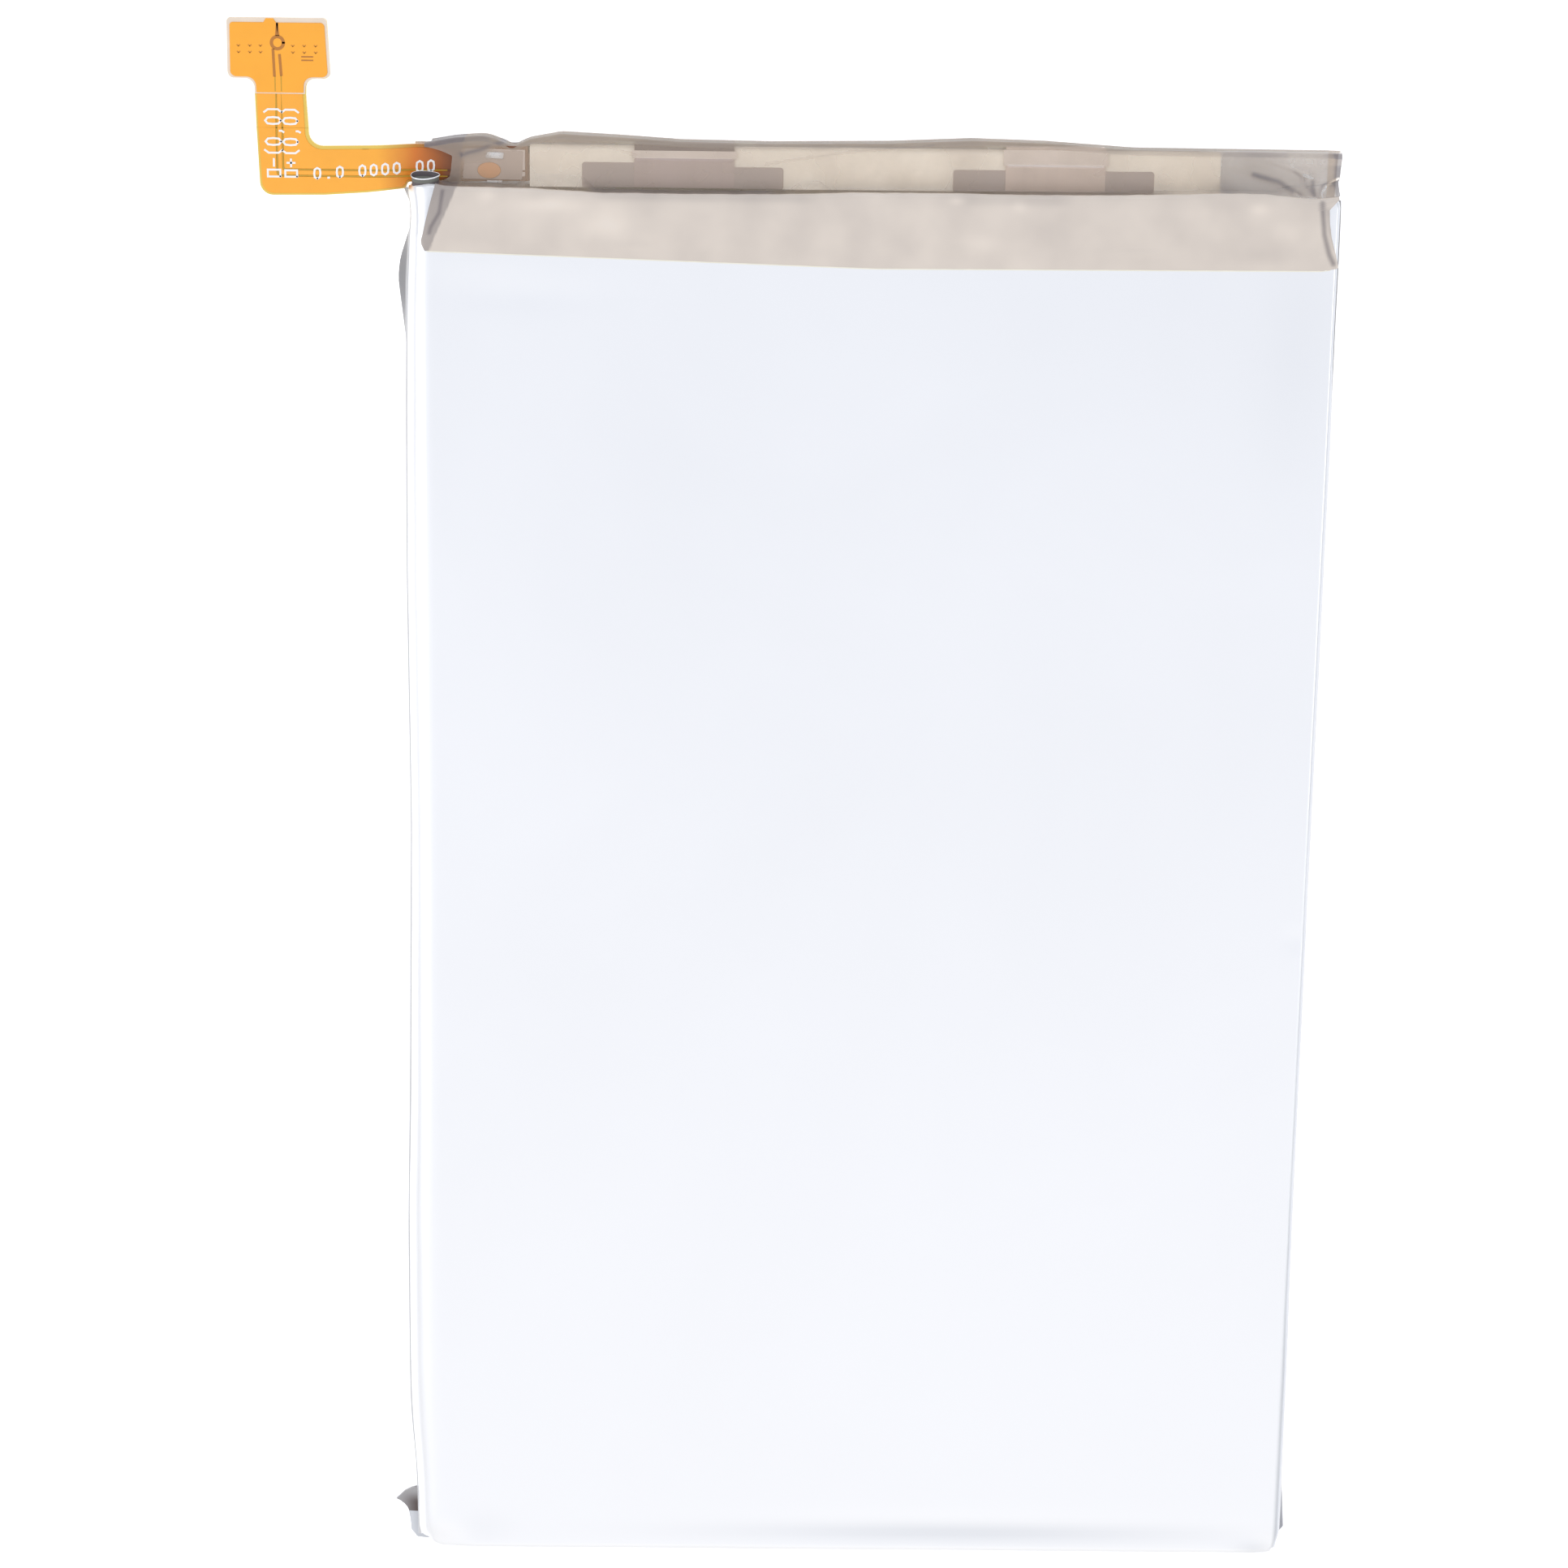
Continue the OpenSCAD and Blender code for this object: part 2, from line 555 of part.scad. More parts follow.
module connector_anchor_shapes() for (s = [-1, 1]) translate([head_x + s * (conn_l / 2 - 0.06), conn_y, 0])
    box([-0.06, -0.6, conn_top - connector_h + 0.1], [0.06, 0.6, conn_top]);
module connector_anchors() color([0.80, 0.80, 0.80]) connector_anchor_shapes();

// ---------- what is drawn ----------

pouch_front_sheet();
pouch_back_sheet();
anode_foil();
cathode_foil();
inner_separator();
outer_separator();
roll_end_tape();
tab_insulation_tapes();
positive_tab();
negative_tab();
positive_tab_film();
negative_tab_film();
terrace_pad();
circuit_board();
positive_weld_plate();
negative_weld_plate();
insulation_paper();
mosfet();
protection_ic();
sense_resistor();
thermal_fuse();
thermistor();
chip_capacitors();
chip_resistors();
flex_solder_joints();
wrap_tape();
rear_label();
flex_root_base();
flex_root_copper();
flex_root_coverlay();
flex_tail_base();
flex_tail_copper();
flex_tail_coverlay();
flex_head_base();
flex_head_copper();
flex_head_coverlay();
head_stiffener();
connector_housing();
connector_power_contacts();
connector_signal_contacts();
connector_anchors();
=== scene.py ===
import math

import bmesh
import bpy
import numpy as np
from mathutils import Euler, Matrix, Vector, noise


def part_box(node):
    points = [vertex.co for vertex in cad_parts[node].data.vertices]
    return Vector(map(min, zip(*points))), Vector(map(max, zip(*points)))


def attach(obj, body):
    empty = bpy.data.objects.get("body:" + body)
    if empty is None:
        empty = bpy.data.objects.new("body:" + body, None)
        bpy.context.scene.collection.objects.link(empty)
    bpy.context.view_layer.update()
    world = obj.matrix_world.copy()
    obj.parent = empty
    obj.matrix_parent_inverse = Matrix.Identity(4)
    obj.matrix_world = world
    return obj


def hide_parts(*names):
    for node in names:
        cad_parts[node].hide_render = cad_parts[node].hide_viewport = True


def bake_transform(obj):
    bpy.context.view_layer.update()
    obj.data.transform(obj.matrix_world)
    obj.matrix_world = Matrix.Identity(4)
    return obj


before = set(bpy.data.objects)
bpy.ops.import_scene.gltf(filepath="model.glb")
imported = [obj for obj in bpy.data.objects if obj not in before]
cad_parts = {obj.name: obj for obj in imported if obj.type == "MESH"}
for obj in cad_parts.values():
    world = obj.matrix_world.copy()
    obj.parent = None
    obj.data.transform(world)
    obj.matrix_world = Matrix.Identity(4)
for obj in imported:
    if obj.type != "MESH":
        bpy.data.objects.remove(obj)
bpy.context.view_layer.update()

# Every length below is in millimetres in the part's own frame. Meshes are scaled to metres as they are made.
MM = 0.001


# ---------------------------------------------------------------- numbers and curves


def cad(name):
    """A CAD node's lowest and highest corners, in millimetres."""
    lo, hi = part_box(name)
    return lo / MM, hi / MM


def smooth(t):
    """Eases from 0 to 1 as t goes from 0 to 1."""
    t = np.clip(t, 0.0, 1.0)
    return t * t * (3 - 2 * t)


def hump(x, y, cx, cy, wx, wy):
    """A soft round hump of height 1 at (cx, cy)."""
    return np.exp(-(((x - cx) / wx) ** 2 + ((y - cy) / wy) ** 2))


def wander(values, seed, scale):
    """Smooth random numbers, about -1 to 1, along a list of places."""
    places = [Vector((v / scale, seed * 7.31, seed * 1.7)) for v in np.atleast_1d(values)]
    return np.array([noise.noise(p) for p in places]) * 1.6


def field(x, y, seed, scale):
    """Smooth random numbers, about -1 to 1, over a grid of places."""
    places = zip(np.ravel(x), np.ravel(y))
    values = [noise.noise(Vector((a / scale, b / scale, seed * 3.77))) for a, b in places]
    return np.array(values).reshape(np.shape(x)) * 1.6


def humps(x, y, table):
    """Sum of soft humps, each given as (height, centre x, centre y, half width, half length)."""
    return sum(height * hump(x, y, *place) for height, *place in table)


def along(points, x, soft=0.0):
    """Value at x along a short list of (x, value) pairs, its corners rounded over soft to each side."""
    at, values = [p[0] for p in points], [p[1] for p in points]
    if soft == 0:
        return np.interp(x, at, values)
    return sum(np.interp(np.asarray(x) + d * soft, at, values) for d in np.linspace(-1, 1, 7)) / 7


def line_distance(x, y, points):
    """How far each place is from a polyline."""
    best = np.full(np.shape(x), 1e9)
    for (x0, y0), (x1, y1) in zip(points, points[1:]):
        dx, dy = x1 - x0, y1 - y0
        t = np.clip(((x - x0) * dx + (y - y0) * dy) / (dx * dx + dy * dy), 0, 1)
        best = np.minimum(best, np.hypot(x - x0 - t * dx, y - y0 - t * dy))
    return best


def stroke_mask(x, y, points, width):
    """1 on a polyline, falling smoothly to 0 at width."""
    return 1 - smooth(line_distance(x, y, points) / width)


def strokes_sum(x, y, table):
    """Sum of soft strokes, each given as (height, width, polyline)."""
    return sum(height * stroke_mask(x, y, line, width) for height, width, line in table)


def rounded(corners):
    """A closed outline from (x, y, radius) corners."""
    out = []
    steps = 7
    k = len(corners)
    for i in range(k):
        p = Vector(corners[i][:2])
        r = corners[i][2]
        a, b = Vector(corners[i - 1][:2]) - p, Vector(corners[(i + 1) % k][:2]) - p
        if r < 1e-6:
            out.append(tuple(p))
            continue
        a.normalize()
        b.normalize()
        half = a.angle(b) / 2
        centre = p + (a + b).normalized() * (r / math.sin(half))
        p0, p1 = p + a * (r / math.tan(half)), p + b * (r / math.tan(half))
        a0 = math.atan2(*(p0 - centre).yx)
        turn = math.atan2(*(p1 - centre).yx) - a0
        turn = (turn + math.pi) % (2 * math.pi) - math.pi
        for j in range(steps + 1):
            w = a0 + turn * j / steps
            out.append((centre.x + r * math.cos(w), centre.y + r * math.sin(w)))
    return out


def wavy(points, seed, size=0.025):
    """A hand-cut look: each point of an outline strays a little."""
    out = []
    for x, y in points:
        dx, dy = (size * noise.noise(Vector((x * 1.9, y * 1.9, s))) for s in (seed, seed + 5))
        out.append((x + dx, y + dy))
    return out


def bent_path(path, radius):
    """Rounds the inner corners of an open path."""
    out = [path[0]]
    steps = 5
    for a, p, b in zip(path, path[1:], path[2:]):
        a, p, b = Vector(a), Vector(p), Vector(b)
        u, v = (a - p), (b - p)
        r = min(radius, u.length * 0.45, v.length * 0.45)
        p0, p1 = p + u.normalized() * r, p + v.normalized() * r
        for k in range(steps + 1):
            t = k / steps
            out.append(tuple(p0 * (1 - t) ** 2 + p * 2 * t * (1 - t) + p1 * t ** 2))
    out.append(path[-1])
    return out


# ---------------------------------------------------------------- meshes


def make(name, verts, faces, mats, face_mats=None, flat_shade=False):
    """A mesh object from points in millimetres."""
    mesh = bpy.data.meshes.new(name)
    points = (np.asarray(verts, float) * MM).tolist()
    mesh.from_pydata(points, [], [tuple(int(i) for i in f) for f in faces])
    obj = bpy.data.objects.new(name, mesh)
    bpy.context.scene.collection.objects.link(obj)
    for m in mats:
        mesh.materials.append(m)
    if face_mats is not None:
        mesh.polygons.foreach_set("material_index", np.asarray(face_mats, np.int32))
    mesh.polygons.foreach_set("use_smooth", np.full(len(mesh.polygons), not flat_shade))
    mesh.update()
    return obj


def paint(obj, name, values):
    """Stores one number per vertex, for a material to read."""
    a = obj.data.attributes.get(name) or obj.data.attributes.new(name, "FLOAT", "POINT")
    a.data.foreach_set("value", np.asarray(values, np.float32).ravel())


def points_of(obj):
    """A mesh's vertices in millimetres."""
    co = np.zeros(len(obj.data.vertices) * 3)
    obj.data.vertices.foreach_get("co", co)
    return co.reshape(-1, 3) / MM


def grid_faces(nu, nv, close_u=False, close_v=False):
    """Faces of a grid of points, which may close on itself in either direction."""
    out = []
    for i in range(nu if close_u else nu - 1):
        for j in range(nv if close_v else nv - 1):
            i1, j1 = (i + 1) % nu, (j + 1) % nv
            out.append((i * nv + j, i1 * nv + j, i1 * nv + j1, i * nv + j1))
    return out


def finish_mesh(obj, hard=35):
    """Normals outwards, and edges sharper than hard degrees kept hard."""
    bm = bmesh.new()
    bm.from_mesh(obj.data)
    bmesh.ops.recalc_face_normals(bm, faces=bm.faces)
    for e in bm.edges:
        e.smooth = not (len(e.link_faces) == 2 and e.calc_face_angle(0) > math.radians(hard))
    bm.to_mesh(obj.data)
    bm.free()


def face_up(obj):
    """Turns an open sheet's faces over where most look down."""
    if sum(p.normal.z * p.area for p in obj.data.polygons) < 0:
        obj.data.flip_normals()


def join(name, parts):
    """Joins meshes into one object, keeping each one's materials."""
    bpy.ops.object.select_all(action="DESELECT")
    for p in parts:
        p.select_set(True)
    bpy.context.view_layer.objects.active = parts[0]
    bpy.ops.object.join()
    parts[0].name = name
    parts[0].data.name = name
    return parts[0]


def plate(name, outline, z_of, thick, mats, cuts_x=(), cuts_y=(), edge=0.0):
    """A thin sheet from a flat outline, cut into strips so that it can curve. z_of gives its underside.
    edge draws the top in by that much, which rounds its rim."""
    bm = bmesh.new()
    bm.faces.new([bm.verts.new((x, y, 0)) for x, y in outline])
    for cuts, axis in ((cuts_x, 0), (cuts_y, 1)):
        for c in cuts:
            at, normal = [0, 0, 0], [0, 0, 0]
            at[axis], normal[axis] = c, 1
            geom = bm.verts[:] + bm.edges[:] + bm.faces[:]
            bmesh.ops.bisect_plane(bm, geom=geom, plane_co=at, plane_no=normal, dist=1e-5)
    bmesh.ops.triangulate(bm, faces=[f for f in bm.faces if len(f.verts) > 4])
    bm.normal_update()
    if sum(f.normal.z for f in bm.faces) < 0:
        bmesh.ops.reverse_faces(bm, faces=bm.faces)
    inward = {}
    for v in bm.verts:
        n = Vector((0, 0, 0))
        for e in v.link_edges:
            if e.is_boundary:
                d = (e.verts[1].co - e.verts[0].co).normalized()
                side = Vector((-d.y, d.x, 0))
                if side.dot(e.link_faces[0].calc_center_median() - e.verts[0].co) < 0:
                    side.negate()
                n += side
        inward[v] = n.normalized() * edge if n.length > 0 else n
    index = {v: i for i, v in enumerate(bm.verts)}
    count = len(index)
    low = [(v.co.x, v.co.y, z_of(v.co.x, v.co.y)) for v in bm.verts]
    high = [(x + inward[v].x, y + inward[v].y, z + thick) for v, (x, y, z) in zip(bm.verts, low)]
    faces = []
    for f in bm.faces:
        ids = [index[v] for v in f.verts]
        faces += [[i + count for i in ids], ids[::-1]]
    for e in bm.edges:
        if e.is_boundary:
            a, b = index[e.verts[0]], index[e.verts[1]]
            ids = [index[v] for v in e.link_faces[0].verts]
            if ids[(ids.index(a) + 1) % len(ids)] != b:
                a, b = b, a
            faces.append((a, b, b + count, a + count))
    bm.free()
    obj = make(name, low + high, faces, mats)
    finish_mesh(obj, 30)
    return obj


def ribbon(points, width, z_of, lift, thick):
    """A raised stroke along a polyline: its points and faces."""
    verts, faces = [], []
    pts = [Vector(p) for p in points]
    n = len(pts)
    for i, p in enumerate(pts):
        before = (pts[i] - pts[i - 1]).normalized() if i > 0 else None
        after = (pts[i + 1] - pts[i]).normalized() if i < n - 1 else None
        if before is None or after is None:
            d = before or after
            spread = 1.0
            p = p + d * width * (0.3 if after is None else -0.3)
        else:
            d = before + after
            d = d.normalized() if d.length > 1e-6 else after
            spread = 1 / max(0.5, d.dot(after))
        side = Vector((-d.y, d.x)) * width / 2 * spread
        for q in (p + side, p - side):
            z = z_of(q.x, q.y) + lift
            verts += [(q.x, q.y, z), (q.x, q.y, z + thick)]
    for i in range(n - 1):
        a, b = 4 * i, 4 * (i + 1)
        faces += [(a + 1, b + 1, b + 3, a + 3), (a, a + 2, b + 2, b)]
        faces += [(a, b, b + 1, a + 1), (a + 2, a + 3, b + 3, b + 2)]
    faces += [(0, 1, 3, 2), (4 * n - 4, 4 * n - 2, 4 * n - 1, 4 * n - 3)]
    return verts, faces


def strokes(name, lines, width, z_of, lift, thick, mat):
    """Several raised strokes as one object."""
    verts, faces = [], []
    for line in lines:
        v, f = ribbon(line, width, z_of, lift, thick)
        faces += [[i + len(verts) for i in g] for g in f]
        verts += v
    obj = make(name, verts, faces, [mat], flat_shade=True)
    finish_mesh(obj)
    return obj


def sideways(pts):
    """Unit vectors square to an open path, one at each of its points."""
    last = len(pts) - 1
    ahead = [(pts[min(i + 1, last)] - pts[max(i - 1, 0)]).normalized() for i in range(len(pts))]
    return [Vector((-d.y, d.x)) for d in ahead]


def strip_across(name, path, x0, x1, thick, mats, nx=14, wave=0.0, seed=0, skin=None):
    """A strip of metal or paper from x0 to x1 that follows a path of (y, z) points.
    skin gives the material of each stretch of the path."""
    pts = [Vector(p) for p in path]
    xs = np.linspace(x0, x1, nx)
    sides = []
    for side in (1, -1):
        for p, square in zip(pts, sideways(pts)):
            q = p + square * thick / 2 * side
            lift = [wave * noise.noise(Vector((x * 0.6, q.x * 0.6, seed))) for x in xs]
            sides.append([(x, q.x, q.y + dz) for x, dz in zip(xs, lift)])
    n = len(pts)
    loop = sides[:n] + sides[n:][::-1]
    faces = grid_faces(2 * n, nx, close_u=True)
    rows = [k // (nx - 1) for k in range(len(faces))]
    kinds = [skin(pts[min(row, 2 * n - 2 - row) % n]) if skin else 0 for row in rows]
    for end in (0, nx - 1):
        for k in range(n - 1):
            rows = (k, k + 1, 2 * n - 2 - k, 2 * n - 1 - k)
            faces.append([r * nx + end for r in rows])
            kinds.append(0)
    obj = make(name, [v for r in loop for v in r], faces, mats, kinds)
    finish_mesh(obj, 40)
    return obj


def swept(name, section_of, stations, mats):
    """A body swept along Y. section_of(y) gives its closed outline as (x, z) points."""
    sections = [section_of(y) for y in stations]
    n = len(sections[0])
    verts = [(x, y, z) for y, section in zip(stations, sections) for x, z in section]
    faces = grid_faces(len(stations), n, close_v=True)
    for base in (0, (len(stations) - 1) * n):
        for j in range(n // 2 - 1):
            faces.append((base + j, base + j + 1, base + n - 2 - j, base + n - 1 - j))
    obj = make(name, verts, faces, mats)
    finish_mesh(obj, 50)
    return obj


def thick_path(path, half):
    """Closed outline round an open path, half its thickness to each side."""
    pts = [Vector(p) for p in path]
    left = [tuple(p + square * half) for p, square in zip(pts, sideways(pts))]
    right = [tuple(p - square * half) for p, square in zip(pts, sideways(pts))]
    return left + right[::-1]


# ---------------------------------------------------------------- materials


def new_material(name, color, rough, metal=0.0, coat=0.0, coat_rough=0.1):
    """A material, its node tree and its main shader."""
    m = bpy.data.materials.new(name)
    m.use_nodes = True
    t = m.node_tree
    p = t.nodes["Principled BSDF"]
    p.inputs["Base Color"].default_value = (*color, 1)
    p.inputs["Roughness"].default_value = rough
    p.inputs["Metallic"].default_value = metal
    p.inputs["Coat Weight"].default_value = coat
    p.inputs["Coat Roughness"].default_value = coat_rough
    m.diffuse_color = (*color, 1)
    return m, t, p


def add_node(t, kind, **settings):
    """A shader node, with the sockets and properties named in settings filled in."""
    n = t.nodes.new(kind)
    for key, value in settings.items():
        socket = key.replace("_", " ").title()
        if socket in n.inputs:
            n.inputs[socket].default_value = value
        else:
            setattr(n, key, value)
    return n


def object_coords(t, scale=(1, 1, 1)):
    """The part's own coordinates, squeezed or stretched by scale."""
    mapping = add_node(t, "ShaderNodeMapping", scale=scale)
    t.links.new(add_node(t, "ShaderNodeTexCoord").outputs["Object"], mapping.inputs["Vector"])
    return mapping.outputs["Vector"]


def cloud(t, coords, scale, detail=3.0, roughness=0.5, distortion=0.0):
    """Cloudy noise from 0 to 1."""
    n = add_node(t, "ShaderNodeTexNoise", scale=scale, detail=detail, roughness=roughness,
                 distortion=distortion)
    t.links.new(coords, n.inputs["Vector"])
    return n.outputs["Fac"]


def ramp(t, fac, stops):
    """A colour looked up from (place, colour) stops."""
    r = add_node(t, "ShaderNodeValToRGB")
    e = r.color_ramp.elements
    while len(e) < len(stops):
        e.new(0.5)
    for k, (place, color) in enumerate(stops):
        e[k].position = place
        e[k].color = (*color, 1)
    t.links.new(fac, r.inputs["Fac"])
    return r.outputs["Color"]


def grey(v):
    """A grey as a colour."""
    return (v, v, v)


def scaled(color, k):
    """A colour k times as bright."""
    return tuple(min(c * k, 1.0) for c in color)


def mix_color(t, fac, a, b, mode="MIX"):
    """Mixes two colours, each given as a socket or a value."""
    m = add_node(t, "ShaderNodeMix", data_type="RGBA", blend_type=mode)
    for socket, value in ((m.inputs[0], fac), (m.inputs[6], a), (m.inputs[7], b)):
        if hasattr(value, "links"):
            t.links.new(value, socket)
        elif isinstance(value, (int, float)):
            socket.default_value = value
        else:
            socket.default_value = (*value, 1)
    return m.outputs[2]


def bumped(t, p, height, strength, distance):
    """Gives a shader fine relief from a height."""
    b = add_node(t, "ShaderNodeBump", strength=strength, distance=distance)
    t.links.new(height, b.inputs["Height"])
    t.links.new(b.outputs["Normal"], p.inputs["Normal"])


def mottled(t, p, socket, fac, dark, light, places=(0.3, 0.7)):
    """Feeds a shader socket with a colour or a grey that wanders between two values."""
    ends = [v if isinstance(v, tuple) else grey(v) for v in (dark, light)]
    t.links.new(ramp(t, fac, list(zip(places, ends))), p.inputs[socket])


def painted(t, name):
    """The number that paint() stored under this name."""
    return add_node(t, "ShaderNodeAttribute", attribute_name=name).outputs["Fac"]


def math_node(t, operation, *values, clamp=False):
    """Arithmetic on sockets or numbers."""
    n = add_node(t, "ShaderNodeMath", operation=operation, use_clamp=clamp)
    for socket, value in zip(n.inputs, values):
        if hasattr(value, "links"):
            t.links.new(value, socket)
        else:
            socket.default_value = value
    return n.outputs[0]


def laminate(name, color, rough, painted_shade=None):
    """Satin nylon-coated foil: fine grain and slow cloudiness. It fades to a darker colour where painted
    shade is stored.
    """
    m, t, p = new_material(name, color, rough, metal=0.88)
    co = object_coords(t)
    slow = cloud(t, co, 34, 4, 0.55, 0.4)
    tint = ramp(t, slow, [(0.3, scaled(color, 0.975)), (0.7, color)])
    if painted_shade:
        tint = mix_color(t, painted(t, "shade"), tint, painted_shade)
    t.links.new(tint, p.inputs["Base Color"])
    mottled(t, p, "Roughness", slow, rough - 0.03, rough + 0.05, (0.25, 0.75))
    bumped(t, p, cloud(t, co, 5200, 2, 0.6), 0.22, 0.00001)
    return m


def polyimide(name, light, mid, dark, rough, far=None):
    """Flexible film. It darkens where shade is painted, as it dips under the tape."""
    m, t, p = new_material(name, light, rough, coat=0.25, coat_rough=0.15)
    co = object_coords(t)
    n = cloud(t, co, 620, 4, 0.6)
    fade = ramp(t, painted(t, "shade"), [(0.0, light), (0.4, mid), (0.85, dark), (1.0, far or dark)])
    mottle = ramp(t, n, [(0.3, grey(0.95)), (0.7, grey(1.0))])
    t.links.new(mix_color(t, 1.0, fade, mottle, "MULTIPLY"), p.inputs["Base Color"])
    bumped(t, p, cloud(t, co, 2600, 3, 0.6), 0.18, 0.00001)
    mottled(t, p, "Roughness", n, rough - 0.04, rough + 0.08)
    return m


def metal(name, color, rough, stretch=(1, 1, 1)):
    """Rolled or brushed metal, with streaks along one way."""
    m, t, p = new_material(name, color, rough, metal=1.0)
    n = cloud(t, object_coords(t, stretch), 1400, 4, 0.65)
    mottled(t, p, "Base Color", n, scaled(color, 0.88), color)
    mottled(t, p, "Roughness", n, rough - 0.06, rough + 0.1)
    bumped(t, p, n, 0.2, 0.00001)
    return m


def matte(name, color, rough, scale=900, depth=0.08, relief=0.25, size=0.00002):
    """Moulded plastic, paper or coated foil: mottled colour and a fine grain."""
    m, t, p = new_material(name, color, rough)
    co = object_coords(t)
    n = cloud(t, co, scale, 5, 0.6)
    mottled(t, p, "Base Color", n, scaled(color, 1 - depth), color)
    bumped(t, p, cloud(t, co, scale * 5, 2, 0.5), relief, size)
    mottled(t, p, "Roughness", n, rough - 0.06, min(rough + 0.06, 1))
    return m


def tape(name, clear, on_foil, doubled_and_shaded, pale, cover):
    """Thin hazy tape, nearly solid to the eye where it is stuck to bright foil (painted "backed").
    Its painted fold values, which carry painted shade as well as doubled film, make it darker and denser
    where positive, and whitened as painted highlights where negative."""
    m, t, p = new_material(name, on_foil, 0.32, coat=0.12, coat_rough=0.15)
    co = object_coords(t)
    backed = painted(t, "backed")
    haze = math_node(t, "MULTIPLY_ADD", cloud(t, co, 150, 3, 0.5, 0.2), 0.10, -0.05)
    fold_shade_glints = math_node(t, "ADD", haze, painted(t, "fold_shade_glints"))
    white = math_node(t, "MULTIPLY", fold_shade_glints, -1.6, clamp=True)
    dark = math_node(t, "MAXIMUM", fold_shade_glints, 0.0, clamp=True)
    single = mix_color(t, backed, clear, on_foil)
    t.links.new(mix_color(t, white, mix_color(t, dark, single, doubled_and_shaded), pale), p.inputs["Base Color"])
    depth = math_node(t, "MAXIMUM", dark, math_node(t, "MULTIPLY_ADD", fold_shade_glints, -1.0, -0.25))
    hiding = math_node(t, "MULTIPLY_ADD", depth, 0.6, cover)
    t.links.new(math_node(t, "ADD", hiding, backed, clamp=True), p.inputs["Alpha"])
    bumped(t, p, cloud(t, co, 420, 2, 0.5), 0.12, 0.00003)
    return m


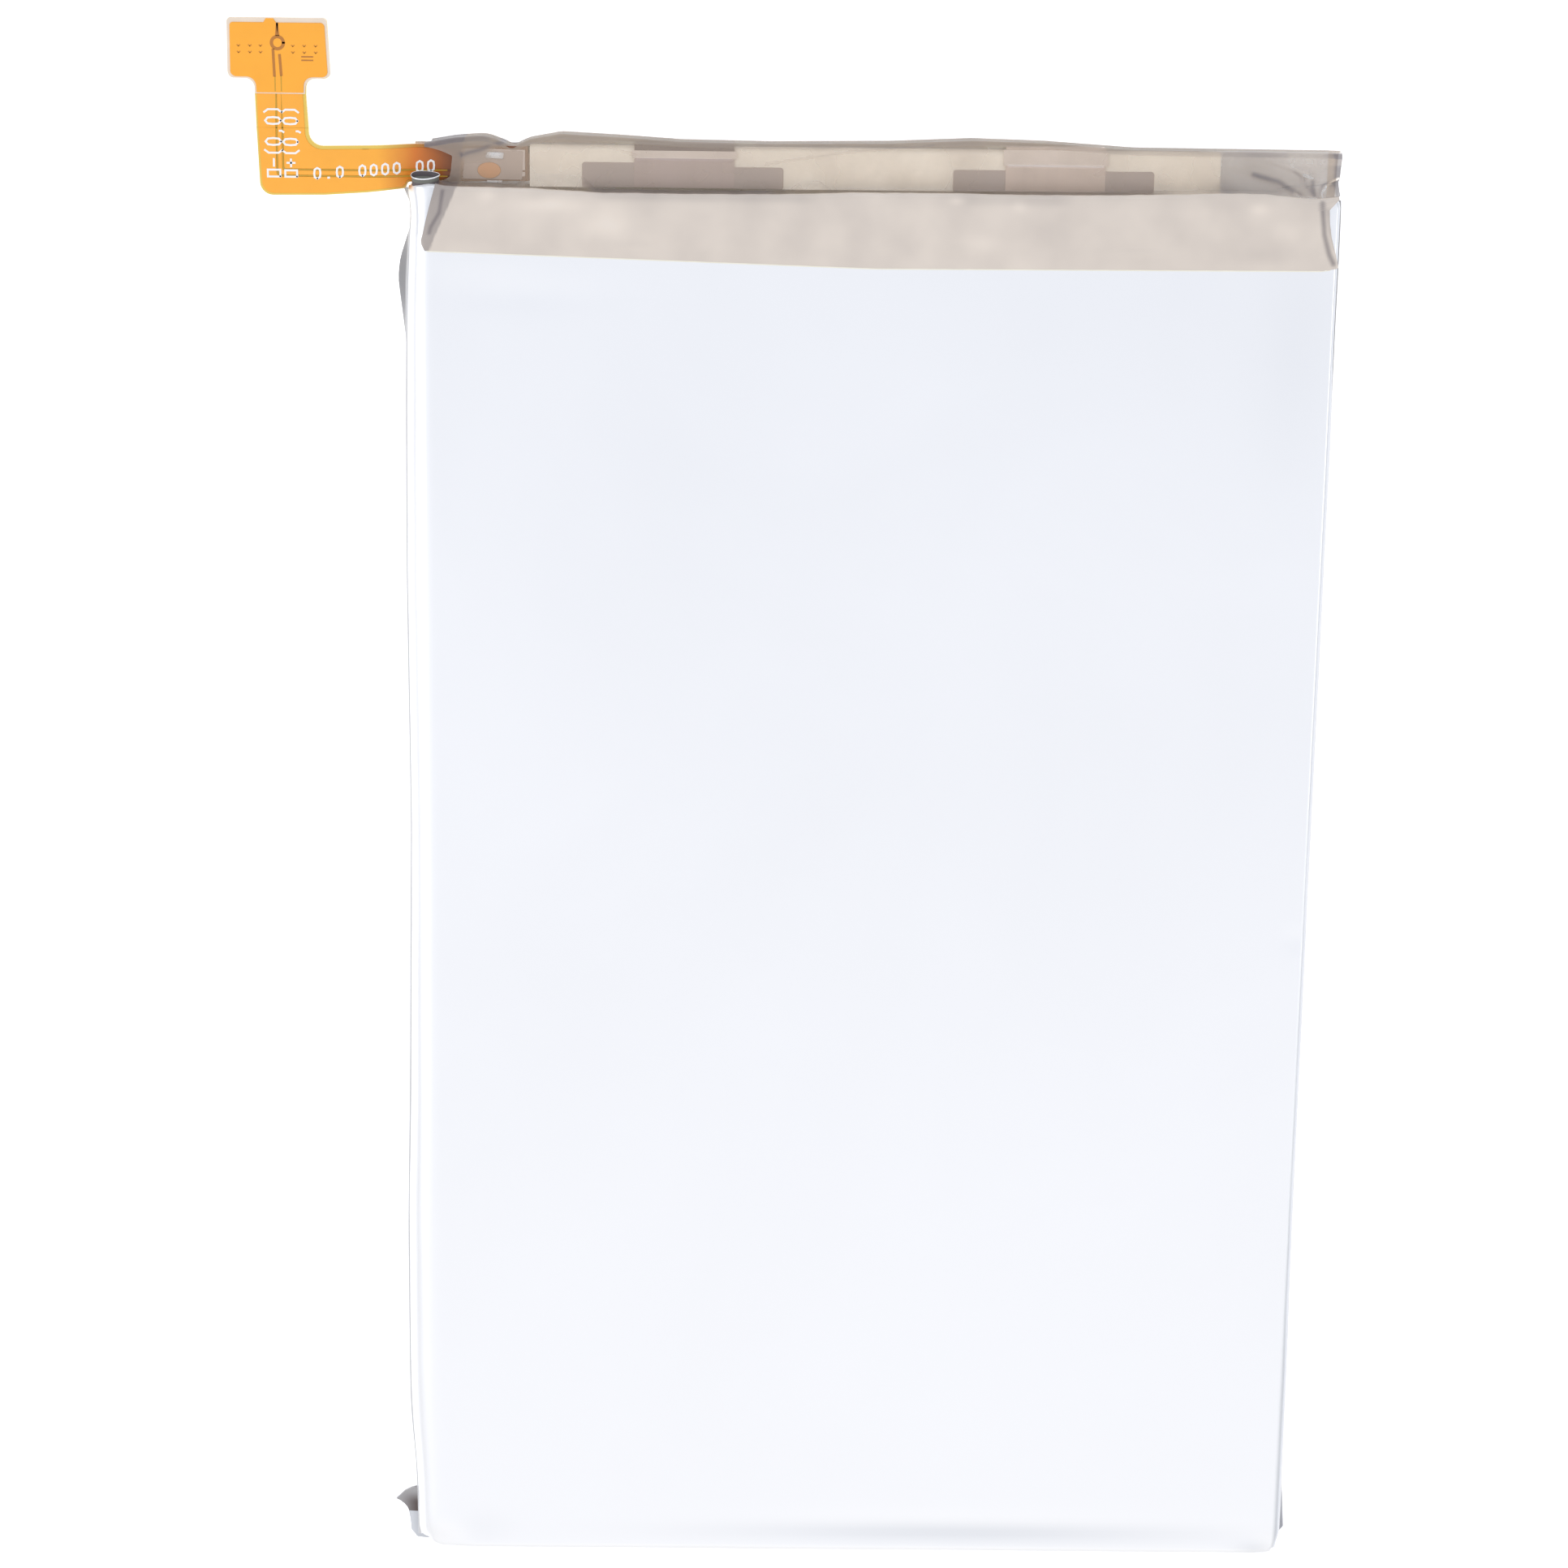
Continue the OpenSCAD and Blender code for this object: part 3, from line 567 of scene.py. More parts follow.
SILVER = (0.915, 0.910, 0.925)
M = {
    # a laminate's second colour, where given, is painted shade, mixed in where shade is painted
    "laminate": laminate("laminate_silver", SILVER, 0.36, painted_shade=(0.30, 0.33, 0.38)),
    "laminate_back": laminate("laminate_back_silver", (0.86, 0.87, 0.89), 0.38),
    "laminate_fold": laminate("laminate_fold", SILVER, 0.40, painted_shade=(0.16, 0.155, 0.16)),
    # the ears take darker copies of the silver laminate for the shade they lie in, with more painted shade
    # mixed in
    "laminate_ear_shaded": laminate("laminate_ear_shaded", (0.42, 0.41, 0.42), 0.45, painted_shade=(0.07, 0.04, 0.035)),
    "laminate_ear_half_shaded": laminate("laminate_ear_half_shaded", (0.66, 0.67, 0.70), 0.45, painted_shade=(0.35, 0.35, 0.38)),
    # painted shade: dark materials for the inside and the lip groove of the open tube
    "tube_inside_shade": matte("tube_inside_shade_face", (0.10, 0.08, 0.085), 0.5),
    "tube_groove_shade": matte("tube_groove_shade", (0.15, 0.15, 0.13), 0.5),
    # the tape's dark colour is doubled film with painted shade; its pale colour is for painted glints
    "tape": tape("wrap_tape_film", (0.84, 0.67, 0.49), (0.755, 0.664, 0.581), (0.21, 0.18, 0.18),
                 (0.95, 0.92, 0.88), 0.25),
    "tape_edge": matte("wrap_tape_cut_edge", (0.88, 0.83, 0.70), 0.35),
    "paper": matte("cream_paper", (0.94, 0.88, 0.79), 0.8, 1400, 0.08, 0.5, 0.00003),
    "paper_grey": matte("tab_paper", (0.72, 0.64, 0.60), 0.8, 1400, 0.08, 0.5, 0.00003),
    "patch": matte("adhesive_patch", (0.46, 0.37, 0.34), 0.7),
    "nickel": metal("nickel_plate", (0.46, 0.395, 0.39), 0.42, (0.15, 1, 1)),
    "tab_al": metal("aluminium_tab", (0.51, 0.415, 0.41), 0.40, (1, 0.12, 1)),
    "tab_ni": metal("nickel_tab", (0.70, 0.58, 0.53), 0.40, (1, 0.12, 1)),
    # a darker copy of the tab metal, as painted shade on the aluminium tab's outer riser
    "tab_shaded_copy": metal("tab_riser_shaded", (0.10, 0.08, 0.11), 0.45),
    "film": polyimide("polyimide_base", (0.80, 0.56, 0.10), (0.55, 0.22, 0.02), (0.16, 0.05, 0.01), 0.3),
    "cover": polyimide("polyimide_cover", (0.99, 0.425, 0.035), (0.72, 0.19, 0.012), (0.20, 0.05, 0.006),
                       0.32, far=(0.66, 0.56, 0.53)),
    "stiffener": polyimide("head_plate", (1.0, 0.42, 0.025), (1.0, 0.42, 0.025), (0.9, 0.4, 0.05), 0.32),
    "rim": matte("head_plate_rim", (0.84, 0.71, 0.58), 0.45),
    "trace": matte("trace_gap", (0.60, 0.34, 0.03), 0.4),
    "mark": matte("head_mark", (0.50, 0.19, 0.03), 0.5),
    # painted shade in the small dents of the stiff plate
    "dent_shade": matte("head_dent_shade", (0.62, 0.25, 0.03), 0.5),
    "ink": matte("white_print", (0.93, 0.90, 0.88), 0.5, 1800, 0.05),
    "copper": metal("copper_foil", (0.80, 0.42, 0.24), 0.35),
    "copper_pad": metal("copper_pad", (0.70, 0.34, 0.15), 0.5),
    "solder": metal("solder_tin", (0.78, 0.78, 0.80), 0.25),
    "board": matte("board_brown", (0.36, 0.17, 0.11), 0.42),
    "black": matte("moulded_black", (0.018, 0.018, 0.02), 0.42, 1500, 0.2),
    "ceramic": matte("chip_ceramic", (0.42, 0.30, 0.19), 0.5),
    "foam": matte("black_foam", (0.05, 0.05, 0.052), 0.9, 2400, 0.25, 0.8, 0.00006),
    "label": matte("white_label", (0.88, 0.88, 0.89), 0.42, 500, 0.03, 0.15, 0.00001),
    "graphite": matte("graphite_coat", (0.05, 0.05, 0.055), 0.75),
    "oxide": matte("oxide_coat", (0.07, 0.07, 0.08), 0.7),
    "separator": matte("separator_film", (0.90, 0.90, 0.88), 0.5),
    "green_tape": matte("green_tape", (0.10, 0.42, 0.22), 0.35),
    "amber_tape": matte("amber_tape", (0.75, 0.40, 0.06), 0.3),
    "seal_film": matte("seal_film", (0.80, 0.78, 0.68), 0.4),
    "gold": metal("gold_contact", (0.85, 0.60, 0.22), 0.25),
    "tin": metal("tin_finish", (0.74, 0.74, 0.76), 0.3),
}

for cad_node, finish in {
    "anode_foil": "graphite", "cathode_foil": "oxide", "inner_separator": "separator",
    "outer_separator": "separator", "roll_end_tape": "green_tape", "tab_insulation_tapes": "amber_tape",
    "positive_tab": "tab_al", "negative_tab": "tab_ni", "positive_tab_film": "seal_film",
    "negative_tab_film": "seal_film", "terrace_pad": "foam", "circuit_board": "board",
    "positive_weld_plate": "nickel", "negative_weld_plate": "nickel", "insulation_paper": "paper",
    "mosfet": "black", "protection_ic": "black", "sense_resistor": "black", "thermal_fuse": "tin",
    "thermistor": "ceramic", "chip_capacitors": "ceramic", "chip_resistors": "black",
    "flex_solder_joints": "solder", "wrap_tape": "tape", "rear_label": "label",
    "pouch_front_sheet": "laminate", "pouch_back_sheet": "laminate_back",
    "flex_root_base": "film", "flex_root_copper": "copper", "flex_root_coverlay": "cover",
    "flex_tail_base": "film", "flex_tail_copper": "copper", "flex_tail_coverlay": "cover",
    "flex_head_base": "film", "flex_head_copper": "copper", "flex_head_coverlay": "cover",
    "head_stiffener": "stiffener", "connector_housing": "black", "connector_power_contacts": "gold",
    "connector_signal_contacts": "gold", "connector_anchors": "tin",
}.items():
    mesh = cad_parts[cad_node].data
    mesh.materials.clear()
    mesh.materials.append(M[finish])
    for face in mesh.polygons:
        face.material_index = 0

# ---------------------------------------------------------------- pouch

_, sheet_hi = cad("pouch_front_sheet")
back_lo, back_hi = cad("pouch_back_sheet")
_, board_hi = cad("circuit_board")

TOP = sheet_hi.z - 0.015                 # front face
SEAM = back_lo.z + 0.08                  # where the two sheets meet
END = back_hi.y - 2.50                   # upright end wall of the cup, beside the circuit
TERRACE = back_hi.y                      # outer end of the flat terrace
FOOT = back_lo.y + 0.24                  # the other end of the cup
LEFT = back_lo.x + 0.22                  # widest line of the left shoulder
RIGHT = back_hi.x - 0.04                 # widest line of the right shoulder
# how wide and how deep each shoulder is
SHOULDER = {"left": (1.62, 1.85), "right": (0.30, 0.45), "foot": (0.75, 0.85), "end": (0.28, 0.32)}
# how gently each begins to fall: 1 is a plain arc
ONSET = {"left": 1.45, "right": 1.0, "foot": 1.3, "end": 1.0}
# how far the end wall strays from straight along the cell's width
END_SAG = [(-29.8, 0.25), (-28.2, 0.25), (-27.2, 0.02), (-22.5, -0.05), (-19.5, -0.22), (-17.0, -0.30),
           (-8.0, -0.30), (-5.0, -0.24), (-2.0, -0.12), (5.0, -0.08), (9.0, -0.14), (13.0, -0.12),
           (18.0, -0.02), (22.5, 0.10), (25.0, 0.10), (27.2, -0.15), (28.6, -0.20), (29.5, 0.0)]
# how far each side bulges beyond its shoulder's nominal line, along the cell
BULGE = {
    -1: [(-46.5, 0.50), (-42.0, 0.57), (-38.0, 0.90), (-35.0, 0.97), (-24.0, 0.93), (-12.0, 0.67),
         (5.0, 0.39), (22.0, 0.45), (33.0, 0.36), (41.0, 0.21), (44.0, 0.0)],
    1: [(-45.0, 0.27), (-34.0, 0.22), (-22.0, 0.10), (6.0, 0.05), (33.0, 0.05), (38.0, 0.0)],
}
# radius of each upright corner
CORNERS = {(-1, -1): 1.35, (1, -1): 0.95, (-1, 1): 0.35, (1, 1): 0.6}
# dents and swellings of the front face: height, place and size of each
RELIEF = [
    (-0.060, 7, -45.2, 14, 0.9), (-0.030, 27.6, -45.9, 1.8, 0.9), (-0.02, -25.8, -45.4, 2.4, 1.2),
    (-0.040, 29.2, -2.0, 0.8, 0.7), (0.045, -25.5, 43.2, 4.0, 1.3), (-0.035, -22.0, 40.6, 5.0, 1.0),
    (-0.035, 27.2, 40.0, 1.8, 5.0),
    # the shoulder at the circuit end is softer beside the two weld plates
    (-0.10, -11.5, 47.5, 5.2, 0.75), (-0.06, 9.0, 47.5, 3.8, 0.7), (-0.10, 27.4, 47.5, 1.6, 0.5),
    # the foot's corners are rounded off
    (-0.35, -28.5, -46.8, 1.3, 1.0), (-0.15, 29.4, -46.8, 0.9, 0.9),
]
# painted shade on the face: how much, place and size, and along two lines by the open end
PAINTED_SHADE_SPOTS = [(0.20, 8, -45.5, 15, 0.7), (0.16, 28.4, -46.6, 1.2, 0.5), (0.04, 27.2, 38.0, 2.2, 8.0),
        (0.05, -25.5, -45.2, 2.0, 1.2)]
PAINTED_SHADE_LINES = [(0.25, 0.3, [(-29.05, 47.7), (-28.95, 44.5)]), (0.25, 0.35, [(-27.9, 47.9), (-28.7, 44.4)])]


def face_relief(x, y):
    """Height of the soft dents and swellings of the front face."""
    return 0.020 * field(x, y, 1, 26) + 0.008 * field(x, y, 2, 11) + humps(x, y, RELIEF)


def side_wander(y, side):
    """How far the shoulder's widest line strays outwards from straight, on the left (-1) or right (1)."""
    out = along(BULGE[side], y, 1.5)
    if side < 0:
        # it swells round the open end of the seal and is pinched just before it
        return out + 0.17 * hump(y, 0, 47.3, 0, 0.8, 1) - 0.10 * hump(y, 0, 45.6, 0, 1.2, 1)
    return out - 0.20 * smooth((-45.6 - y) / 0.9)


def cup():
    """The drawn front sheet: a flat face, a different shoulder on each side, and walls down to the seam."""
    shoulder_n, wall_n, nx, ny = 9, 6, 150, 250
    out = np.concatenate([np.linspace(0, 1, shoulder_n + 1)[1:], 1 + np.linspace(0, 1, wall_n + 1)[1:]])

    def lines(lo, hi, n):
        u = np.concatenate([-out[::-1], np.zeros(n), out])
        return u, np.concatenate([np.full(len(out), lo), np.linspace(lo, hi, n), np.full(len(out), hi)])

    ux, px = lines(LEFT + SHOULDER["left"][0], RIGHT - SHOULDER["right"][0], nx)
    uy, py = lines(FOOT + SHOULDER["foot"][0], END - SHOULDER["end"][0], ny)
    UX, UY = np.meshgrid(ux, uy, indexing="ij")
    PX, PY = np.meshgrid(px, py, indexing="ij")
    D = np.maximum(np.hypot(UX, UY), 1e-9)
    DX, DY = UX / D, UY / D

    def pick(k):
        a = np.where(UX < 0, SHOULDER["left"][k], SHOULDER["right"][k])
        b = np.where(UY < 0, SHOULDER["foot"][k], SHOULDER["end"][k])
        return a, b

    (wide_x, wide_y), (deep_x, deep_y) = pick(0), pick(1)
    deep = DX ** 2 * deep_x + DY ** 2 * deep_y
    A = np.minimum(D, 1) * math.pi / 2
    W = np.clip(D - 1, 0, 1)
    X = PX + DX * wide_x * np.sin(A)
    Y = PY + DY * wide_y * np.sin(A)
    onset = DX ** 2 * np.where(UX < 0, ONSET["left"], ONSET["right"])
    onset = onset + DY ** 2 * np.where(UY < 0, ONSET["foot"], ONSET["end"])
    Z = TOP - deep * (1 - np.cos(A)) ** onset - W * (TOP - deep - SEAM)
    Z = Z + face_relief(X, Y) * np.where(D < 1, np.sqrt(np.cos(A)), 0)
    # under the shoulder the wall is pinched in, and it wanders a little
    pinch = np.where(np.abs(UX) > np.abs(UY), 0.36, 0.10) * smooth(W / 0.3)
    pinch = pinch + 0.03 * field(Y, X, 5, 6) * smooth(D)
    bulge = np.where(DX < 0, side_wander(Y, -1), side_wander(Y, 1)) * smooth(D) * (D < 1.9)
    X = X - DX * pinch + DX * bulge
    Y = Y - DY * pinch + along(END_SAG, X, 0.5) * smooth((Y - 46.2) / 0.9)
    # each upright corner is turned on its own radius
    for (sx, sy), r in CORNERS.items():
        cx = (LEFT if sx < 0 else RIGHT) + sx * (BULGE[sx][0][1] if sy < 0 else 0) - sx * r
        cy = (FOOT if sy < 0 else END) - sy * r
        ex, ey = (X - cx) * sx, (Y - cy) * sy
        inside = (ex > 0) & (ey > 0)
        k = np.where(inside, np.maximum(ex, ey) / np.maximum(np.hypot(ex, ey), 1e-9), 1)
        X, Y = np.where(inside, cx + sx * ex * k, X), np.where(inside, cy + sy * ey * k, Y)
    # painted shade: the shoulders are a little darker than the face, and so are the dents and two lines by
    # the open end
    shade_amount = 0.44 * smooth(D / 0.6) * np.clip(DX, 0, 1)
    shade_amount = shade_amount + (0.05 * smooth((D - 0.3) / 0.5) + 0.12 * smooth((D - 0.85) / 0.15)) * np.clip(-DX, 0, 1)
    shade_amount = shade_amount + humps(X, Y, PAINTED_SHADE_SPOTS) + strokes_sum(X, Y, PAINTED_SHADE_LINES)
    keep, faces, verts, shade_amounts = {}, [], [], []
    for f in grid_faces(len(ux), len(uy)):
        if all(D.flat[i] > 1.999 for i in f):
            continue
        for i in f:
            if i not in keep:
                keep[i] = len(verts)
                verts.append((X.flat[i], Y.flat[i], Z.flat[i]))
                shade_amounts.append(shade_amount.flat[i])
        faces.append([keep[i] for i in f])
    obj = make("pouch_front_skin", verts, faces, [M["laminate"]])
    paint(obj, "shade", shade_amounts)
    finish_mesh(obj, 60)
    return obj


def seal(side):
    """The double-folded side seal: from the seam up the wall, over, and back down outside."""
    seed = 11 if side > 0 else 12
    # the wall it stands against, and the height of its upper rim
    wall, rim_z = (29.52, 3.62) if side > 0 else (29.33, 2.35)
    # how far the outer leg springs away from the wall near the open end, at its free edge
    spring = [(35.5, 0.0), (37.5, 0.12), (39.5, 0.40), (41.2, 0.66), (42.4, 0.60), (43.6, 0.28), (44.6, 0.0),
              (46.0, 0.0), (46.9, 0.26), (47.3, 0.30)]

    def section(y):
        slow, quick = wander(y, seed, 7)[0], wander(y, seed + 3, 3.1)[0]
        top = rim_z + 0.07 * slow + 0.03 * quick
        low = 1.35 + 0.12 * slow
        out = 0.02 * quick
        foot = wall + float(side_wander(y, side))
        if side < 0:
            out += float(along(spring, y, 0.4))
            top -= 0.35 * float(smooth((y - 46.0) / 0.8))
        top -= 0.25 * float(smooth((abs(y) - 46.4) / 0.9))
        x0, x1 = foot + 0.12, foot + 0.38
        r = (x1 - x0) / 2
        turn, start = 0.29, foot - 0.17
        path = [(foot - 1.0, SEAM), (start, SEAM)]
        for a in (0.4, 0.8, 1.2, 1.57):
            path.append((start + turn * math.sin(a), SEAM + turn * (1 - math.cos(a))))
        path += [(x0, z) for z in (0.8, 1.2, 1.6, 2.0)]
        path += [(x0, top)]
        path += [(x0 + r - r * math.cos(a), top + r * math.sin(a)) for a in (0.52, 1.05, 1.57, 2.09, 2.62)]
        path += [(x1, top), (x1 + out * 0.25, (top + low) / 2 + 0.2)]
        path += [(x1 + out * 0.7, low + 0.3), (x1 + out, low)]
        return [(side * x, z) for x, z in thick_path(path, 0.08)]

    stations = np.linspace(-47.0, 47.1, 220)
    obj = swept("side_seal_right" if side > 0 else "side_seal_left", section, stations, [M["laminate_fold"]])
    co = points_of(obj)
    beyond = np.abs(co[:, 0]) - wall - side_wander(co[:, 1], side)
    # painted shade over the outer leg where it springs away near the open end, the top of the right rim near
    # the circuit end, and the rim's outer edge
    if side < 0:
        painted_shade = 0.9 * smooth((beyond - 0.42) / 0.15)
        edge = 0.50 * smooth((beyond - 0.30) / 0.06)
    else:
        painted_shade = 0.8 * smooth((co[:, 2] - rim_z + 0.4) / 0.3) * smooth((co[:, 1] - 33) / 4)
        edge = 0.3 * smooth((beyond - 0.36) / 0.06)
    paint(obj, "shade", np.maximum(painted_shade, edge))
    return obj


def back_panel():
    """The flat rear sheet with a soft rim, and the terrace that runs on beyond the cup."""
    nx, ny = 90, 110
    half = 29.5
    xs, ys = np.linspace(-half, half, nx), np.linspace(FOOT + 0.05, TERRACE, ny)
    X, Y = np.meshgrid(xs, ys, indexing="ij")
    rim = np.minimum(half - np.abs(X), Y - ys[0])
    under = back_lo.z + 0.005 + 0.06 * (1 - smooth(rim / 0.5))
    over = SEAM + 0.10 + 0.012 * field(X, Y, 21, 5)
    # the sheet rises over the sealing film of each tab
    for film in ("positive_tab_film", "negative_tab_film"):
        lo, hi = cad(film)
        across = smooth((X - lo.x + 0.4) / 0.6) * smooth((hi.x + 0.4 - X) / 0.6)
        over = over + 0.20 * across * smooth((Y - END) / 0.4)
    n = nx * ny
    verts = np.concatenate([np.stack([X, Y, Z], -1).reshape(-1, 3) for Z in (under, over)])
    faces = grid_faces(nx, ny) + [tuple(i + n for i in f) for f in grid_faces(nx, ny)]
    border = [i * ny for i in range(nx)] + [(nx - 1) * ny + j for j in range(1, ny)]
    border += [i * ny + ny - 1 for i in range(nx - 2, -1, -1)] + list(range(ny - 2, 0, -1))
    faces += [(a, b, b + n, a + n) for a, b in zip(border, border[1:] + border[:1])]
    obj = make("pouch_back_skin", verts, faces, [M["laminate_back"]])
    finish_mesh(obj, 40)
    return obj


def open_tube():
    """The rolled end of the left seal, which stands open beside the circuit."""
    around = 64
    centre_x, centre_z, half_w, half_h = -28.56, TOP - 0.62, 0.93, 0.50
    # (distance before the lip, growth, material of the stretch that ends here)
    rings = [(0.52, -0.30, 0), (0.32, -0.06, 1), (0.10, -0.06, 1), (0.08, 0.0, 0), (0.05, 0.015, 0),
             (0.02, 0.008, 0), (0.0, -0.015, 0), (0.015, -0.045, 0), (0.06, -0.06, 2), (0.4, -0.07, 2),
             (0.9, -0.09, 2), (1.2, -0.25, 2)]
    verts = []
    for back, grow, _ in rings:
        for j in range(around):
            w = 2 * math.pi * j / around
            c, s = math.cos(w), math.sin(w)
            lip = 48.13 - 0.20 * s + 0.03 * math.sin(2 * w + 0.5)
            across = (half_w + grow) * c * (1 - 0.06 * s * c)
            verts.append((centre_x + across, lip - back, centre_z + (half_h + grow) * s))
    faces = grid_faces(len(rings), around, close_v=True)
    last = (len(rings) - 1) * around
    kinds = [rings[k // around + 1][2] for k in range(len(faces))] + [2]
    faces.append(list(range(last, last + around)))
    # the groove under the lip and the inside take dark materials, as painted shade
    mats = [M["laminate"], M["tube_groove_shade"], M["tube_inside_shade"]]
    obj = make("seal_open_tube", verts, faces, mats, kinds)
    # painted shade down the tube's left side
    paint(obj, "shade", [0.45 * float(smooth((centre_x - 0.45 - x) / 0.4)) for x, _, _ in verts])
    finish_mesh(obj, 60)
    return obj


def ear(name, outline, z_of, shade_of, finish="laminate_ear_shaded"):
    """A small folded corner flap of laminate."""
    xs = np.linspace(min(p[0] for p in outline), max(p[0] for p in outline), 12)[1:-1]
    ys = np.linspace(min(p[1] for p in outline), max(p[1] for p in outline), 16)[1:-1]
    obj = plate(name, outline, z_of, 0.14, [M[finish]], xs, ys, edge=0.03)
    co = points_of(obj)
    # painted shade, as shade_of gives it
    paint(obj, "shade", [shade_of(x, y) for x, y, _ in co])
    return obj


pouch = cup()
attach(pouch, "cell")
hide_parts("pouch_front_sheet")

back = back_panel()
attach(back, "cell")
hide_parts("pouch_back_sheet")

ear_upper = ear(
    "corner_ear_left_upper",
    [(-29.4, -43.55), (-30.31, -43.59), (-30.8, -43.8), (-31.3, -44.15), (-31.96, -44.94), (-31.5, -45.15),
     (-31.2, -45.5), (-31.05, -45.85), (-30.2, -45.8), (-29.4, -45.7)],
    lambda x, y: 1.55 - 0.45 * max(0.0, (-29.9 - x) / 2) ** 1.4 + 0.22 * (y + 44.6),
    lambda x, y: float(smooth((x + 32.0) / 1.7) * smooth((-43.9 - y) / 1.2)) * 0.85)
ear_lower = ear(
    "corner_ear_left_lower",
    [(-29.4, -45.75), (-31.1, -45.8), (-30.97, -46.6), (-30.90, -47.3), (-30.45, -47.80), (-29.6, -47.85),
     (-29.0, -47.4)],
    lambda x, y: 1.15 + 0.12 * (x + 30) - 0.04 * (y + 46),
    lambda x, y: 0.25 * float(smooth((x + 30.9) / 0.5)), "laminate_ear_half_shaded")
ear_right = ear(
    "corner_ear_right",
    [(29.5, -41.2), (30.25, -41.25), (30.45, -41.5), (30.62, -43.4), (30.75, -44.9), (30.85, -46.38),
     (30.55, -46.69), (29.5, -46.4)],
    lambda x, y: 1.55 - 0.25 * max(0.0, x - 29.9) ** 1.2,
    lambda x, y: 0.5 + 0.4 * float(smooth((-44.5 - y) / 1.6)), "laminate_ear_half_shaded")

for piece in (seal(-1), seal(1), open_tube(), ear_upper, ear_lower, ear_right):
    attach(piece, "cell")

# ---------------------------------------------------------------- circuit end

# Thicknesses and levels of what lies on the board, from the board upwards
DECK = board_hi.z                        # board's upper face
PAPER_Z = DECK + 0.18                    # underside of the paper wrap
PLATE_Z = PAPER_Z + 0.06                 # underside of the weld plates
TAB_Z = PLATE_Z + 0.07                   # middle of the folded tabs
TAPE_Z = DECK + 0.47                     # the tape over them
BROW = END + 0.04                        # where the tape turns down off the front face
BROW_R = 0.22                            # radius of that turn
TAPE_R = 0.36                            # radius round the board's outer edge
TAPE_FRONT = 43.36                       # the tape's edge on the front face
TAPE_REAR = 43.25                        # its edge on the rear
TAPE_FOOT = 0.32                         # where it turns on to the rear

LOWER_EDGE = [(-28.6, 43.36), (0.26, 42.55), (28.9, 42.72), (30.1, 42.95)]
LEFT_EDGE = [(43.36, -28.61), (43.72, -28.82), (43.97, -28.86), (44.34, -28.74), (45.11, -28.54),
             (46.4, -28.18), (47.52, -27.86), (47.8, -27.5), (48.08, -27.12), (48.46, -27.03),
             (49.18, -26.93), (49.42, -27.55), (49.72, -28.48), (49.97, -29.2)]
RIGHT_EDGE = [(42.93, 30.03), (43.8, 29.75), (44.4, 29.55), (45.2, 29.3), (46.0, 29.15), (46.75, 29.1),
              (47.1, 29.5), (47.46, 29.85), (48.46, 29.95), (49.88, 30.05)]
OUTER_EDGE = [(-29.2, 49.95), (-26.8, 50.36), (-25.2, 50.5), (-24.7, 50.46), (-23.6, 50.06), (-23.1, 49.8),
              (-22.1, 50.28), (-20.05, 50.67), (-16.4, 50.5), (-12.3, 50.25), (-6.6, 50.18), (1.2, 50.3),
              (6.4, 50.54), (11.1, 50.42), (16.8, 50.06), (24.6, 50.03), (29.3, 50.02), (29.93, 50.0)]
# where the tape bridges the step instead of tucking into it
BRIDGES = [(-22.8, 0), (-22.2, 1), (-18.6, 1), (-17.8, 0), (-5.4, 0), (-4.6, 0.8), (-3.4, 0.8), (-2.8, 0),
           (25.6, 0), (26.8, 0.7), (30.0, 1)]
ROWS = [("front", 34), ("brow", 6), ("drop", 8), ("deck", 34), ("round", 7), ("side", 6), ("rear", 10)]


def past_face(x):
    """0 on the flat face, rising to 1 at either shoulder's widest line."""
    beyond = np.maximum((LEFT - x) / SHOULDER["left"][0], (x - RIGHT) / SHOULDER["right"][0])
    return np.clip(beyond + 1, 0, 0.97)


def skin_level(x):
    """Height of the pouch's face across it, with the shoulders falling away at both sides."""
    level = TOP - 1.2 * np.maximum(x - RIGHT, 0)
    for side, inward in (("left", LEFT - x), ("right", x - RIGHT)):
        wide, deep = SHOULDER[side]
        t = np.clip(inward / wide + 1, 0, 0.97)
        level = level - deep * (1 - np.sqrt(1 - t ** 2)) ** ONSET[side] + 0.045 * smooth(t / 0.15)
    return level


def quarter(t):
    """How far a quarter turn has gone sideways and down at t from 0 to 1."""
    return math.sin(t * math.pi / 2), 1 - math.cos(t * math.pi / 2)


